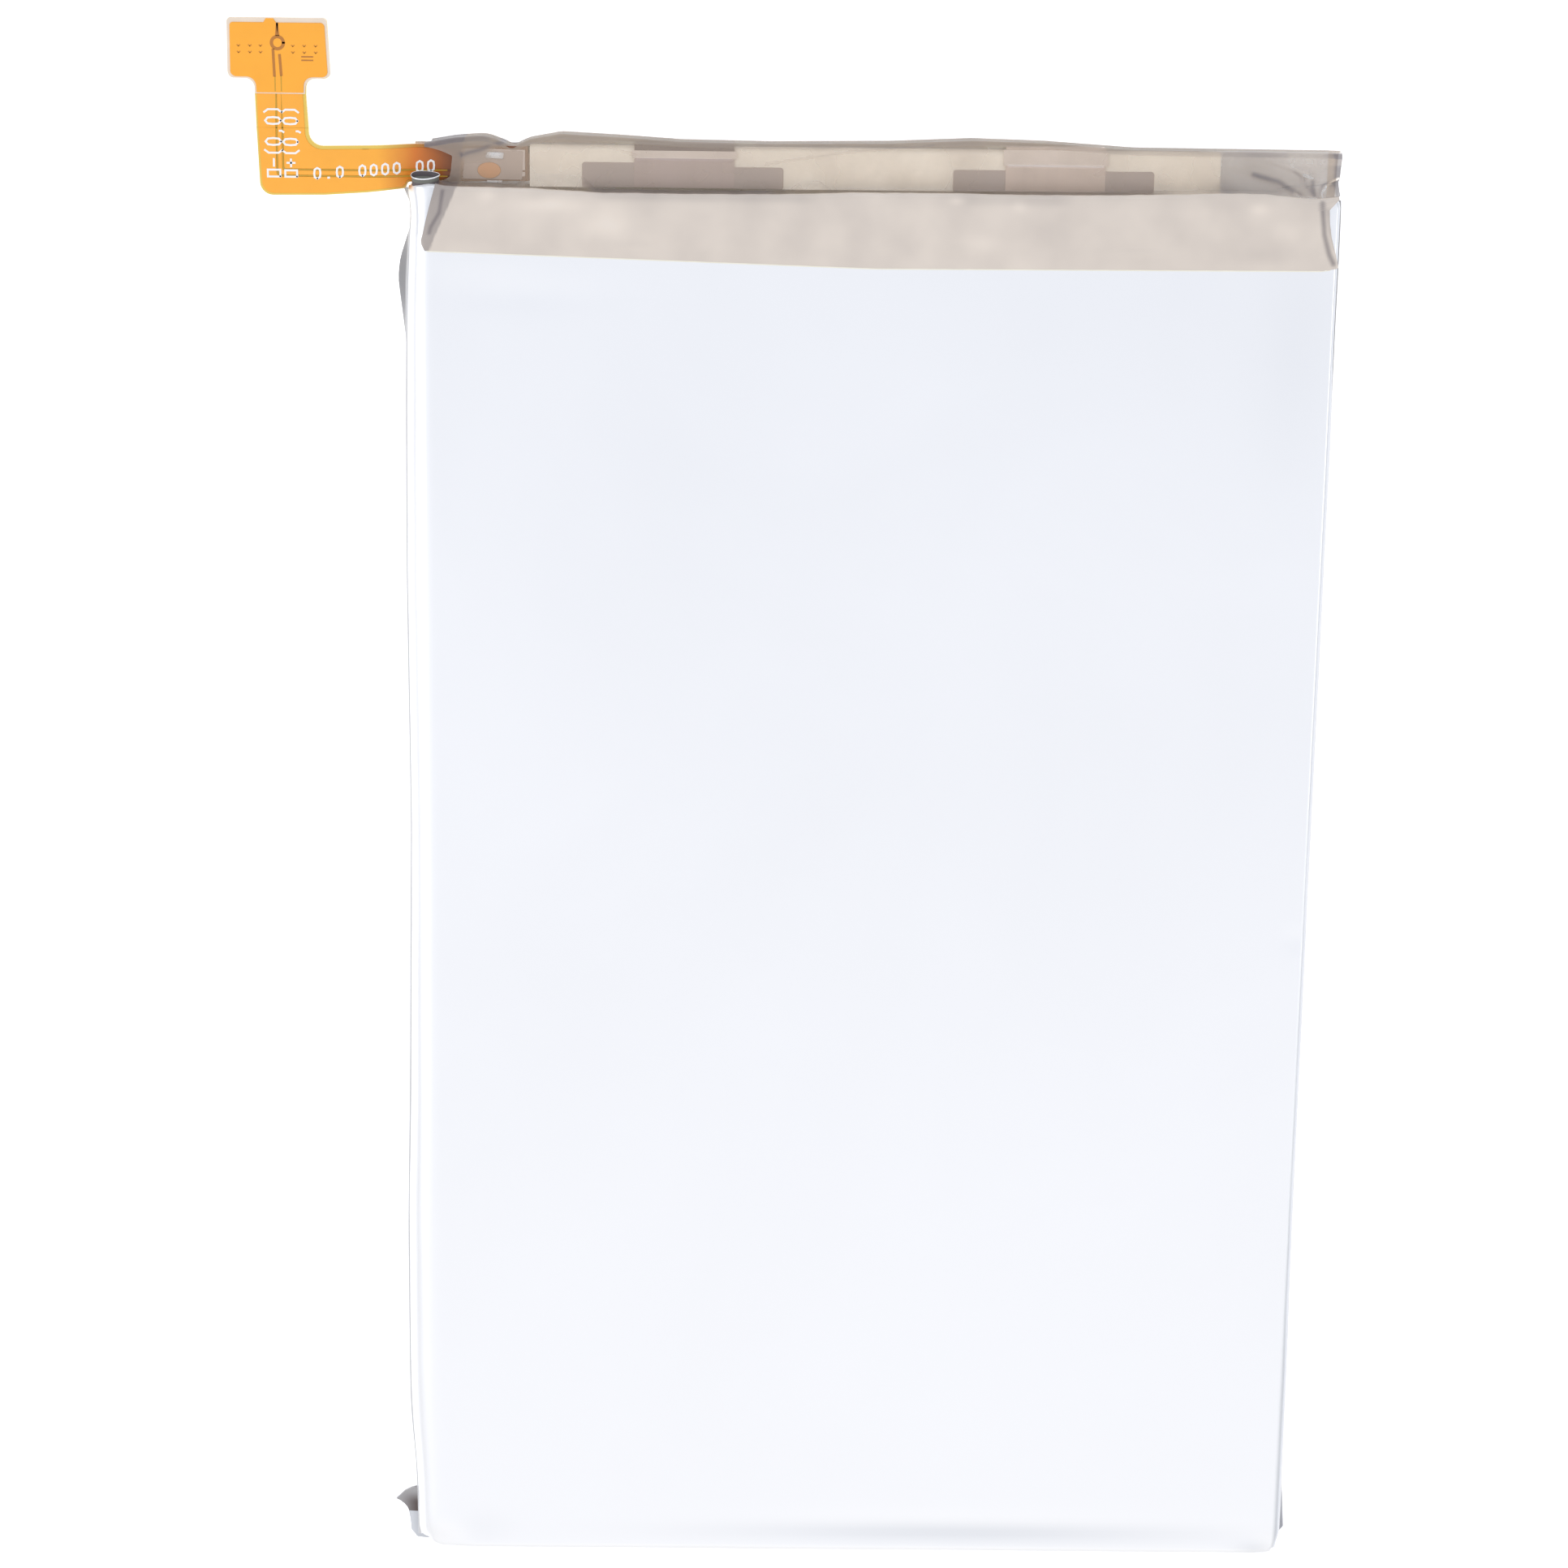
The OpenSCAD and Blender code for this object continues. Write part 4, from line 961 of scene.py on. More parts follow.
def tape_rows():
    """Places of the tape's grid: its front edge, over the brow, down to the circuit, out, round and back."""
    nu = 560
    u = np.linspace(0, 1, nu)
    rows, names = [], []
    for name, n in ROWS:
        for k in range(n):
            t = k / (n - 1) if name == "front" else (k + 1) / n
            # where this row roughly lies, which settles its two ends
            about = {"front": TAPE_FRONT + (BROW - BROW_R - TAPE_FRONT) * t, "brow": 47.3, "drop": 47.5,
                     "deck": 47.6 + 2.1 * t}.get(name, 49.8)
            xl, xr = float(along(LEFT_EDGE, about)), float(along(RIGHT_EDGE, about))
            if name in ("side", "rear"):
                xl, xr = -28.4, 30.25 if name == "side" else 30.25 - 0.35 * t
            x = xl + (xr - xl) * u
            out = along(OUTER_EDGE, x, 0.25)
            low = along(LOWER_EDGE, x, 0.3)
            brow = BROW + along(END_SAG, x, 0.5) + 0.02 * wander(x, 31, 2.2) + 0.015 * wander(x, 32, 0.7)
            level = skin_level(x) + 0.02
            foot = TAPE_Z + 0.02 + 0.02 * wander(x, 33, 3.0)
            last = TAPE_Z - 0.01 + 0.02 * wander(x, 34, 4.0) - 0.25 * hump(x, 0, -23.3, 0, 0.9, 1)
            tuck = 0.06 + 0.75 * along(BRIDGES, x, 0.2)
            if name == "front":
                y = low + (brow - BROW_R - low) * t
                z = level
            elif name == "brow":
                sideways, down = quarter(t)
                y = brow - BROW_R + BROW_R * sideways
                z = level - BROW_R * down
            elif name == "drop":
                y = brow + tuck * t ** 2
                z = level - BROW_R + (foot - level + BROW_R) * t
            elif name == "deck":
                s = t ** 1.3
                y = brow + tuck + (out - TAPE_R - brow - tuck) * s
                z = foot + (last - foot) * s
            elif name == "round":
                sideways, down = quarter(t)
                y = out - TAPE_R + TAPE_R * sideways
                z = last - TAPE_R * down
            elif name == "side":
                y = out - 0.08 * math.sin(t * math.pi) + 0 * x
                z = last - TAPE_R + (TAPE_FOOT - last + TAPE_R) * t
            else:
                turned, _ = quarter(min(t / 0.2, 1))
                y = out - 0.30 * turned + (TAPE_REAR - out + 0.30) * max(t - 0.2, 0) / 0.8
                z = 0.055 + 0.265 * (1 - turned) + 0 * x
            rows.append(np.stack([x, y, z], -1))
            names.append(name)
    return np.stack(rows, 1), np.array(names)


# where the tape is denser, and painted highlights where it is paler: (how much, centre x, centre y, half
# width, half length)
FACE_GLINT_SPOTS = [
    (-0.16, -17.0, 45.0, 2.0, 0.9), (-0.16, -20.5, 46.4, 2.2, 0.5), (-0.16, -24.6, 46.9, 0.6, 0.4),
    (-0.16, 5.3, 46.9, 0.5, 0.25), (-0.16, 9.3, 46.6, 0.5, 0.4), (-0.16, 7.0, 44.2, 1.2, 0.6),
    (-0.16, 26.4, 45.2, 1.0, 0.7), (-0.16, 24.6, 46.6, 0.6, 0.4),
]
SPOTS = [(0.10, 24.6, 43.6, 2.0, 0.6), (0.06, -21.5, 46.9, 0.9, 0.4)]
# where it stands off the face in bubbles
BUBBLES = [(0.03, -15.5, 43.8, 1.3, 0.22), (0.03, 5.5, 43.8, 1.2, 0.25), (0.03, -15.0, 44.6, 1.4, 0.4),
           (0.03, 17, 43.7, 1.6, 0.2)]
# the long fine crease, and the fold at the right corner
LONG_CREASE = [(-6.9, 48.9), (-4.5, 49.3), (-1.5, 49.75), (3.9, 50.25)]
CORNER_FOLD = [(28.64, 47.21), (28.75, 47.6), (29.34, 48.2), (29.86, 48.45)]
# painted shade along folds, where the film is also doubled, and painted glints where the value is negative,
# each along a line: (how much, half width, line)
FOLD_SHADE = [
    (0.30, 0.22, [(-28.3, 44.5), (-28.2, 44.87), (-27.65, 45.8), (-27.43, 47.15)]),
    (0.50, 0.28, [(-26.3, 49.3), (-25.2, 49.6), (-24.6, 49.85), (-23.6, 50.1)]),
    (0.14, 0.12, [(-20.2, 50.45), (-17.5, 50.0), (-15.2, 49.4)]),
    (0.28, 0.10, LONG_CREASE),
]
# painted shade along the folds at the tape's right end on the face, where it is also doubled
FACE_FOLD_SHADE = [
    (0.65, 0.30, [(28.62, 47.0), (28.67, 46.44), (28.84, 45.0), (29.21, 43.77), (29.5, 43.2)]),
    (0.30, 0.22, [(29.0, 46.6), (29.2, 45.2), (29.55, 44.2)]),
]
DECK_FOLD_SHADE_AND_GLINTS = [
    # painted shade over the flexible tail, and painted glints by the tail's solder and over the two tabs
    (0.25, 0.18, [(-26.5, 47.6), (-26.36, 48.57), (-26.25, 49.23)]),
    (-0.55, 0.09, [(-24.9, 47.60), (-24.1, 47.58)]),
    (-0.45, 0.22, [(-24.55, 49.35), (-24.0, 49.38)]),
    (-0.65, 0.13, [(8.7, 49.0), (14.7, 48.98)]),
    (-0.45, 0.11, [(-15.1, 49.16), (-9.1, 49.14)]),
    # the crumpled right end: painted shade in its folds and painted glints on its crests
    (0.55, 0.35, [(24.4, 48.62), (26.0, 48.2), (27.3, 47.4)]),
    (0.50, 0.30, [(28.24, 47.4), (28.2, 48.4)]),
    (0.30, 0.30, [(27.0, 48.9), (27.7, 48.3), (28.0, 47.6)]),
    (-0.95, 0.16, [(27.63, 48.62), (28.21, 48.42)]),
    (-0.25, 0.16, [(26.8, 49.2), (27.5, 48.7)]),
    (0.45, 0.25, [(28.5, 47.1), (28.9, 48.0), (29.8, 48.25)]),
    (-1.0, 0.13, CORNER_FOLD),
    (-0.8, 0.14, [(27.0, 47.5), (27.5, 47.2), (28.3, 47.25)]),
]
# creases that stand up from the deck
RIDGES = [
    (0.05, 0.22, LONG_CREASE),
    (0.10, 0.4, [(-20.6, 50.3), (-17.6, 49.2)]),
    (-0.08, 0.35, [(-26.3, 49.3), (-25.2, 49.6), (-23.6, 50.1)]),
    (0.10, 0.5, [(23.2, 49.2), (27.6, 47.6)]),
    (0.14, 0.35, [(25.4, 49.6), (27.8, 48.7)]),
    (0.16, 0.3, [(27.8, 48.7), (27.9, 47.5)]),
    (0.20, 0.25, CORNER_FOLD),
]
# how dark the painted shade in the tucked line under the brow is along the cell
TUCKED = [(-28, 0.3), (-20.5, 0.25), (-19.5, 0.65), (-6.8, 0.65), (-6.0, 0.2), (7.4, 0.2), (8.2, 0.45),
          (18.8, 0.45), (19.6, 0.15), (30, 0.2)]
# inner edge of the doubled strip up the left side
DOUBLED = [(43.3, -28.3), (43.67, -28.14), (44.35, -27.88), (45.28, -27.45), (46.41, -26.93),
           (47.44, -26.5), (48.57, -26.36), (49.23, -26.25), (50.5, -26.1)]


def on(part, *names):
    """1 for the rows of the tape's grid that belong to the named parts, 0 for the others."""
    return np.isin(part, names)[None, :] * 1.0


def tape_density(x, y, part):
    """How folded the tape is, with painted shade where positive and painted highlights where negative: 0 for
    a single clear layer, 1 for several.
    """
    on_front = on(part, "front", "brow")
    on_deck = on(part, "drop", "deck", "round")
    d = 0.16 + 0.07 * field(x, y, 51, 2.2) + 0.015 * field(x, y, 52, 0.8)
    d = d + humps(x, y, FACE_GLINT_SPOTS) * on_front + humps(x, y, SPOTS)
    d = d + strokes_sum(x, y, FOLD_SHADE)
    d = d + strokes_sum(x, y, FACE_FOLD_SHADE) * on_front + strokes_sum(x, y, DECK_FOLD_SHADE_AND_GLINTS) * on_deck
    # painted shade on the rim rows, where the tape turns away and is doubled, at the crumpled right end of
    # the deck, and on the line where the tape tucks in under the brow
    d = d + 0.42 * on(part, "side") + 0.32 * on(part, "round")
    d = d + (0.30 * smooth((x - 28.7) / 0.7) + 0.35 * smooth((x - 29.4) / 0.3)) * on_deck
    d = d + along(TUCKED, x) * on(part, "drop") * (1 - along(BRIDGES, x, 0.2))
    # painted shade along the shoulder, stronger beside the two weld plates
    band = smooth((x + 18.2) / 1.6) * smooth((-3.2 - x) / 1.6)
    band = band + 0.8 * smooth((x - 5.0) / 1.6) * smooth((13.2 - x) / 1.6)
    d = d + 0.14 * band * smooth((y - 46.45) / 0.5) * on_front
    d = d + 0.05 * smooth((y - 46.2) / 1.0) * on_front
    # doubled strip up the left edge, and painted shade over the tail where it dips under the tape
    d = d + 0.50 * smooth((along(DOUBLED, y) - x) / 0.10)
    over_tail = smooth((x + 26.3) / 0.2) * smooth((-24.3 - x) / 0.4) * smooth((y - 48.7) / 0.3)
    d = d + 0.30 * over_tail * on_deck
    # crumpled right end: painted shade over the terrace beside it, and a painted highlight near its outer
    # edge
    d = d + (0.20 * smooth((x - 22.3) / 0.12) + 0.25 * hump(x, y, 22.6, 47.6, 0.8, 0.6)) * on_deck
    d = d - 0.16 * smooth((y - 49.2) / 0.1) * smooth((x - 26.4) / 0.3) * on_deck
    return np.clip(d, -0.6, 1.2)


def tape_sheet():
    """The clear tape, as one creased sheet."""
    P, part = tape_rows()
    X, Y, Z = P[..., 0].copy(), P[..., 1].copy(), P[..., 2].copy()
    front = on(part, "front")
    # it follows the face, with bubbles and soft waves under it
    rolls_off = (1 - past_face(X) ** 2) ** 0.25
    Z = Z + np.clip(face_relief(X, Y), -0.2, 0.05) * on(part, "front", "brow") * rolls_off
    lift = 0.010 * (field(X, Y, 41, 2.6) + 1) + humps(X, Y, BUBBLES)
    Z = Z + np.clip(lift, 0, 0.06) * smooth((Y - along(LOWER_EDGE, X)) / 0.6) * front
    # creases on the deck, and crumples at both ends
    corner = smooth((X - 26.4) / 1.8) + 0.7 * smooth((-26.3 - X) / 1.0)
    crumple = 0.09 * field(X, Y, 45, 0.8) + 0.07 * np.abs(field(X, Y, 46, 0.4))
    ridge = strokes_sum(X, Y, RIDGES) + corner * crumple + 0.022 * field(X, Y, 44, 1.5)
    Z = Z + ridge * on(part, "deck", "round")
    edge = smooth((X - 28.4) / 0.5) + smooth((-27.9 - X) / 0.4)
    Z = Z + 0.05 * edge * np.abs(field(X, Y, 48, 0.5)) * front
    Z = np.minimum(Z, sheet_hi.z + 0.045)
    verts = np.stack([X, Y, Z], -1).reshape(-1, 3)
    obj = make("wrap_tape_sheet", verts, grid_faces(*X.shape), [M["tape"]])
    face_up(obj)
    paint(obj, "fold_shade_glints", tape_density(X, Y, part))
    paint(obj, "backed", on(part, "front", "brow", "rear") * np.ones_like(X))
    return obj


def face_level(x, y):
    """Height of the front face under the tape's edge."""
    return float(skin_level(x) + face_relief(np.array(x), np.array(y)))


tape_obj = tape_sheet()
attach(tape_obj, "cell")
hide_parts("wrap_tape")

# the tape's pale cut edge on the front face
edge_line = [(x, float(along(LOWER_EDGE, x, 0.3)) - 0.02) for x in np.linspace(-28.45, 29.3, 90)]
tape_rim = strokes("wrap_tape_edge", [edge_line], 0.07, face_level, 0.012, 0.02, M["tape_edge"])
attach(tape_rim, "cell")

# cream paper round the board, bent down over its outer edge
wrap_path = bent_path([(47.30, PAPER_Z + 0.03), (49.82, PAPER_Z + 0.03), (49.85, 1.0)], 0.25)
paper = strip_across("paper_wrap", wrap_path, -22.0, 22.3, 0.05, [M["paper"]], 90, 0.02, 4)
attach(paper, "cell")
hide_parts("insulation_paper")

# weld plates, with rounded corners
for plate_node, seed in (("positive_weld_plate", 0), ("negative_weld_plate", 1)):
    lo, hi = cad(plate_node)
    step = -11.5 if seed == 0 else hi.x
    x0, x1, y1 = lo.x - 0.35, hi.x + 0.15, 48.9 - 0.22 * seed
    outline = rounded([(x0, 47.3, 0.1), (x1, 47.3, 0.1), (x1, 48.68, 0.2), (step, 48.68, 0),
                       (step - 0.01, y1, 0), (x0, y1, 0.2)])
    nickel = plate(plate_node + "_strip", outline, lambda x, y: PLATE_Z + 0.004 * math.sin(x * 2.1 + seed),
                   0.045, [M["nickel"]], np.linspace(lo.x, hi.x, 14)[1:-1], edge=0.02)
    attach(nickel, "cell")
    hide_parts(plate_node)

# the tabs: out of the roll, down to the terrace, up round the board and back over the weld plates
TAB_PATH = [(12.0, 2.33), (44.9, 2.33), (46.5, 0.45), (46.9, 0.30), (50.04, 0.30), (50.08, 0.6),
            (50.10, 2.1), (50.02, TAB_Z), (49.6, TAB_Z + 0.005), (49.15, TAB_Z + 0.015),
            (48.95, TAB_Z), (47.35, TAB_Z - 0.01)]
for tab_node, finish in (("positive_tab", "tab_al"), ("negative_tab", "tab_ni")):
    lo, hi = cad(tab_node)
    # the aluminium tab's outer riser takes the darker copy of its metal: painted shade
    tab = strip_across(tab_node + "_strip", bent_path(TAB_PATH, 0.2), lo.x, hi.x, 0.05,
                       [M[finish], M["tab_shaded_copy"]], 20, 0.0, lo.x,
                       skin=lambda p: 1 if finish == "tab_al" and p.x > 49.55 and p.y > 0.5 else 0)
    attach(tab, "cell")
    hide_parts(tab_node)

# a strip of cream paper over each tab's fold
for k, (tab_node, y0, y1) in enumerate((("positive_tab", 49.20, 49.68), ("negative_tab", 48.98, 50.0))):
    lo, hi = cad(tab_node)
    z0 = TAB_Z + 0.04
    path = bent_path([(y0, z0), (y0 + 0.25, z0 - 0.002), (y1, z0 - 0.005)], 0.1)
    cover = strip_across(f"paper_cover_{k + 1}", path, lo.x - 0.15, hi.x + 0.15, 0.04, [M["paper_grey"]],
                         24, 0.01, k + 5)
    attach(cover, "cell")

# solder and copper where the tail meets the board
turns = np.linspace(0, 2 * math.pi, 33)[:-1]
pad_outline = [(-24.6 + 0.75 * math.cos(a), 48.3 + 0.52 * math.sin(a)) for a in turns]
tin_outline = rounded([(-24.9, 49.05, 0.1), (-23.7, 49.0, 0.1), (-23.6, 49.45, 0.12), (-24.75, 49.5, 0.12)])
glint_outline = rounded([(-24.75, 47.52, 0.03), (-23.75, 47.50, 0.03), (-23.75, 47.68, 0.03),
                         (-24.75, 47.70, 0.03)])
pads = [
    plate("solder_pad", pad_outline, lambda x, y: DECK + 0.23, 0.03, [M["copper_pad"]], edge=0.03),
    plate("solder_patch", tin_outline, lambda x, y: DECK + 0.23, 0.04, [M["solder"]], edge=0.04),
    plate("solder_edge", glint_outline, lambda x, y: DECK + 0.24, 0.05, [M["solder"]], edge=0.03),
]
joints = join("solder_joints", pads)
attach(joints, "cell")
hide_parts("flex_solder_joints")

# ---------------------------------------------------------------- flexible tail

root_lo, _ = cad("flex_root_base")
head_lo, _ = cad("flex_head_base")

FILM = 0.15                              # film thickness, and its cover's
COVER = 0.045
ROOT_Z, TAIL_Z = root_lo.z, head_lo.z    # underside of the film on the board, and at the head
RISE = (-28.9, -32.1)                    # where it starts and ends its rise between the two
SPLIT = 50.9                             # where the tail's strip ends and the head's begins
LEG = (-39.36, -36.03)                   # sides of the leg at the split
OVERLAP = 0.02                           # hides the joint between the two strips
TAIL_END, HEAD_START = SPLIT + OVERLAP, SPLIT - OVERLAP
COVER_L, COVER_R = LEG[0] + 0.13, LEG[1] - 0.24     # sides of the cover on the leg
GAP = 0.09                               # gap line between two covered conductors
MID_X = (-38.03, -37.74)                 # narrow conductor on the leg
MID_Y = (47.92, 48.22)                   # and on the arm


def tail_z(x, y):
    """Underside of the tail: on the board, then a smooth rise to its own level."""
    t = (RISE[0] - x) / (RISE[0] - RISE[1])
    return ROOT_Z + (TAIL_Z - ROOT_Z) * float(smooth(t))


def tail_shade(x):
    """How much painted shade the film takes as it dips in under the tape."""
    return along([(-31.6, 0.0), (-30.0, 0.25), (-28.9, 0.50), (-27.3, 0.80), (-26.4, 0.85), (-25.9, 1.0)], x)


def level_z(x, y):
    """Underside of the film past its rise."""
    return TAIL_Z


def above(lift, z_of=tail_z):
    """Heights that stand a set amount above the film's underside."""
    return lambda x, y: z_of(x, y) + lift


def strip_cuts(lo, hi, step):
    """Places to cut a film at, so that it can follow a bend."""
    return list(np.arange(lo, hi, step))


def cut_up(line, step):
    """Adds points along a polyline, so that a stroke can follow a curved surface."""
    out = [line[0]]
    for a, b in zip(line, line[1:]):
        n = max(1, int(math.dist(a, b) / step))
        out += [(a[0] + (b[0] - a[0]) * k / n, a[1] + (b[1] - a[1]) * k / n) for k in range(1, n + 1)]
    return out


def film_piece(name, outline, z_of, thick, finish, cuts_x=(), cuts_y=(), edge=0.02, shade=True):
    """A flat piece of film, with painted shade where it goes in under the tape."""
    obj = plate(name, outline, z_of, thick, [M[finish]], cuts_x, cuts_y, edge=edge)
    co = points_of(obj)
    paint(obj, "shade", tail_shade(co[:, 0]) if shade else np.zeros(len(co)))
    return obj


arm_x = strip_cuts(-39.0, -33.0, 1.0) + strip_cuts(-33.0, -27.6, 0.2) + strip_cuts(-27.4, -22.4, 0.5)
leg_y = [47.6, 48.6, 49.6, 50.4]

film_outline = rounded([
    (-22.1, 47.62, 0), (-22.1, 49.85, 0), (-29.2, 49.93, 0), (-31.1, 49.86, 0), (LEG[1], 49.76, 0.9),
    (LEG[1], TAIL_END, 0), (LEG[0], TAIL_END, 0), (-39.19, 46.62, 0.85), (-38.2, 46.62, 0),
    (-35.08, 46.66, 0), (-32.44, 46.84, 0), (-29.97, 47.10, 0.2), (-29.80, 47.50, 0.2)])
lower_cover = rounded([
    (-22.3, 47.80, 0), (-22.3, MID_Y[0] - GAP, 0), (MID_X[0] - GAP, MID_Y[0] - GAP, 0.3),
    (MID_X[0] - GAP, TAIL_END, 0), (COVER_L, TAIL_END, 0), (-39.04, 46.76, 0.75), (-38.2, 46.76, 0),
    (-35.08, 46.80, 0), (-32.44, 46.98, 0), (-30.1, 47.22, 0.2), (-29.8, 47.66, 0.2)])
narrow_cover = rounded([
    (-22.3, MID_Y[0], 0), (-22.3, MID_Y[1], 0), (MID_X[1], MID_Y[1], 0.14), (MID_X[1], TAIL_END, 0),
    (MID_X[0], TAIL_END, 0), (MID_X[0], MID_Y[0], 0.38)])
upper_cover = rounded([
    (-22.3, MID_Y[1] + GAP, 0), (-22.3, 49.62, 0), (-29.2, 49.70, 0), (-31.1, 49.63, 0),
    (COVER_R, 49.53, 1.1), (COVER_R, TAIL_END, 0), (MID_X[1] + GAP, TAIL_END, 0),
    (MID_X[1] + GAP, MID_Y[1] + GAP, 0.2)])
tail_parts = [film_piece("tail_film", film_outline, tail_z, FILM, "film", arm_x, leg_y)]
for k, outline in enumerate((lower_cover, narrow_cover, upper_cover)):
    tail_parts.append(film_piece(f"tail_cover_{k}", outline, above(FILM), COVER, "cover", arm_x, leg_y))

# a pale adhesive patch over the soldered end, under the tape
patch_outline = rounded([(-26.3, 47.75, 0.1), (-22.5, 47.72, 0.1), (-22.4, 49.55, 0.1), (-26.1, 49.6, 0.2)])
tail_parts.append(plate("root_patch", patch_outline, above(FILM + COVER + 0.002), 0.008, [M["patch"]]))

# White print, drawn with single strokes in a 4 by 6 box per character
GLYPHS = {
    "-": [[(0.4, 3), (3.2, 3)]],
    "+": [[(0.3, 3), (3.3, 3)], [(1.8, 1.4), (1.8, 4.6)]],
    "(": [[(2.6, 6.4), (1.5, 4.9), (1.5, 1.1), (2.6, -0.4)]],
    ")": [[(1.0, 6.4), (2.1, 4.9), (2.1, 1.1), (1.0, -0.4)]],
    ",": [[(1.9, 0.6), (1.9, -0.2), (1.4, -1.0)]],
    "0": [[(1.8, 0), (0.7, 0.9), (0.5, 3.0), (0.7, 5.1), (1.8, 6), (2.9, 5.1), (3.1, 3.0), (2.9, 0.9),
           (1.8, 0)]],
    "#": [[(0.4, 0.6), (0.4, 5.4), (3.0, 5.4), (3.0, 0.6), (0.4, 0.6)]],
    ".": [[(1.5, 0.2), (2.1, 0.2)]],
    " ": [],
}


def written(text, x, y, height, pitch, upward, wide=1.0):
    """Polylines of a line of characters. Upward text runs along +Y with its tops towards -X."""
    k = height / 6
    lines = []
    for i, ch in enumerate(text):
        for line in GLYPHS[ch]:
            pts = [(i * pitch + u * k * wide, v * k) for u, v in line]
            lines.append([(x - v, y + u) if upward else (x + u, y + v) for u, v in pts])
    return lines


print_lines = written("#-(0,0)", -37.78, 47.74, 1.0, 0.66, True)
print_lines += written("#+(0,0)", -36.72, 47.74, 0.94, 0.66, True)
# the line along the arm leans a little
print_lines += [[(x, y + 0.07 * (x + 35.8)) for x, y in line]
                for line in written("0.0 0000 00", -35.8, 47.68, 0.68, 0.72, False, 1.35)]
tail_parts.append(strokes("tail_print", print_lines, 0.125, above(FILM + COVER), 0.002, 0.012, M["ink"]))
# the two gap lines between the conductors, each in the middle of its gap
low_y, low_x = MID_Y[0] - GAP / 2, MID_X[0] - GAP / 2
high_y, high_x = MID_Y[1] + GAP / 2, MID_X[1] + GAP / 2
gap_lines = [[(-27.3, low_y), (MID_X[0] + 0.15, low_y), (low_x, MID_Y[0] + 0.15), (low_x, SPLIT)],
             [(-27.3, high_y), (MID_X[1] + 0.12, high_y), (high_x, MID_Y[1] + 0.12), (high_x, SPLIT)]]
tail_parts.append(strokes("tail_gaps", [cut_up(g, 0.3) for g in gap_lines], 0.08, above(FILM + 0.02),
                          0.0, 0.02, M["trace"]))
flex_a = join("flex_tail_strip", tail_parts)
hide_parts("flex_root_base", "flex_root_copper", "flex_root_coverlay", "flex_tail_base",
            "flex_tail_copper", "flex_tail_coverlay")
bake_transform(flex_a)

# ---------------------------------------------------------------- connector head

NECK = [(-39.42, 52.93), (-36.15, 52.97)]      # where the leg meets the head
HEAD_TOP, HEAD_FOOT = 57.78, 53.98
HEAD_L, HEAD_RT, HEAD_RF = -41.11, -34.75, -34.57
RIM, PLATE = 0.12, 0.06                        # thickness of the stiff plate, and of its orange face


bend_y = strip_cuts(51.0, 53.0, 0.12) + [53.6]
head_sides = [(-39.45, HEAD_FOOT, 0.6), (HEAD_L, HEAD_FOOT, 0.42), (HEAD_L, HEAD_TOP, 0.27),
              (HEAD_RT, HEAD_TOP, 0.27), (HEAD_RF, HEAD_FOOT, 0.42), (-36.12, HEAD_FOOT, 0.55)]
film_b = rounded([(LEG[0], HEAD_START, 0), (*NECK[0], 0)] + head_sides
                 + [(*NECK[1], 0), (LEG[1], HEAD_START, 0)])
head_parts = [film_piece("head_film", film_b, level_z, FILM, "film", (), bend_y, shade=False)]
# each cover's two sides at the split, and how far they lean by the head
head_covers = [(COVER_L, MID_X[0] - GAP, -0.06, 0.04), (*MID_X, 0.02, 0.02),
               (MID_X[1] + GAP, COVER_R, -0.10, -0.10)]
for k, (x0, x1, lean0, lean1) in enumerate(head_covers):
    outline = [(x0, HEAD_START), (x1, HEAD_START), (x1 + lean1, 53.3), (x0 + lean0, 53.3)]
    head_parts.append(film_piece(f"head_cover_{k}", outline, above(FILM, level_z), COVER, "cover", (),
                                 bend_y, shade=False))

# the stiff plate: a pale cut rim, and the orange face inside it
rim_outline = rounded([(NECK[0][0] + 0.05, 53.02, 0)] + head_sides + [(NECK[1][0] - 0.05, 53.02, 0)])
head_parts.append(plate("head_rim", wavy(rim_outline, 7, 0.05), above(FILM, level_z), RIM, [M["rim"]],
                        edge=0.03))
face_top, face_foot = HEAD_TOP - 0.30, HEAD_FOOT + 0.10
top_outline = rounded([
    (NECK[0][0] + 0.14, 53.10, 0), (-39.33, face_foot, 0.6), (HEAD_L + 0.20, face_foot, 0.36),
    (HEAD_L + 0.20, face_top, 0.24), (-38.75, face_top, 0), (-38.6, HEAD_TOP - 0.02, 0),
    (-38.12, HEAD_TOP - 0.04, 0), (-37.95, face_top, 0), (HEAD_RT - 0.16, face_top, 0.24),
    (HEAD_RF - 0.15, face_foot, 0.36), (-36.26, face_foot, 0.55), (NECK[1][0] - 0.14, 53.10, 0)])
head_parts.append(film_piece("head_top", wavy(top_outline, 3), above(FILM + RIM, level_z), PLATE,
                             "stiffener", edge=0.03, shade=False))


def marks(name, lines, width, finish):
    """Print, or painted shade in dents, on the stiff plate's face."""
    return strokes(name, lines, width, above(FILM + RIM + PLATE, level_z), 0.001, 0.008, M[finish])


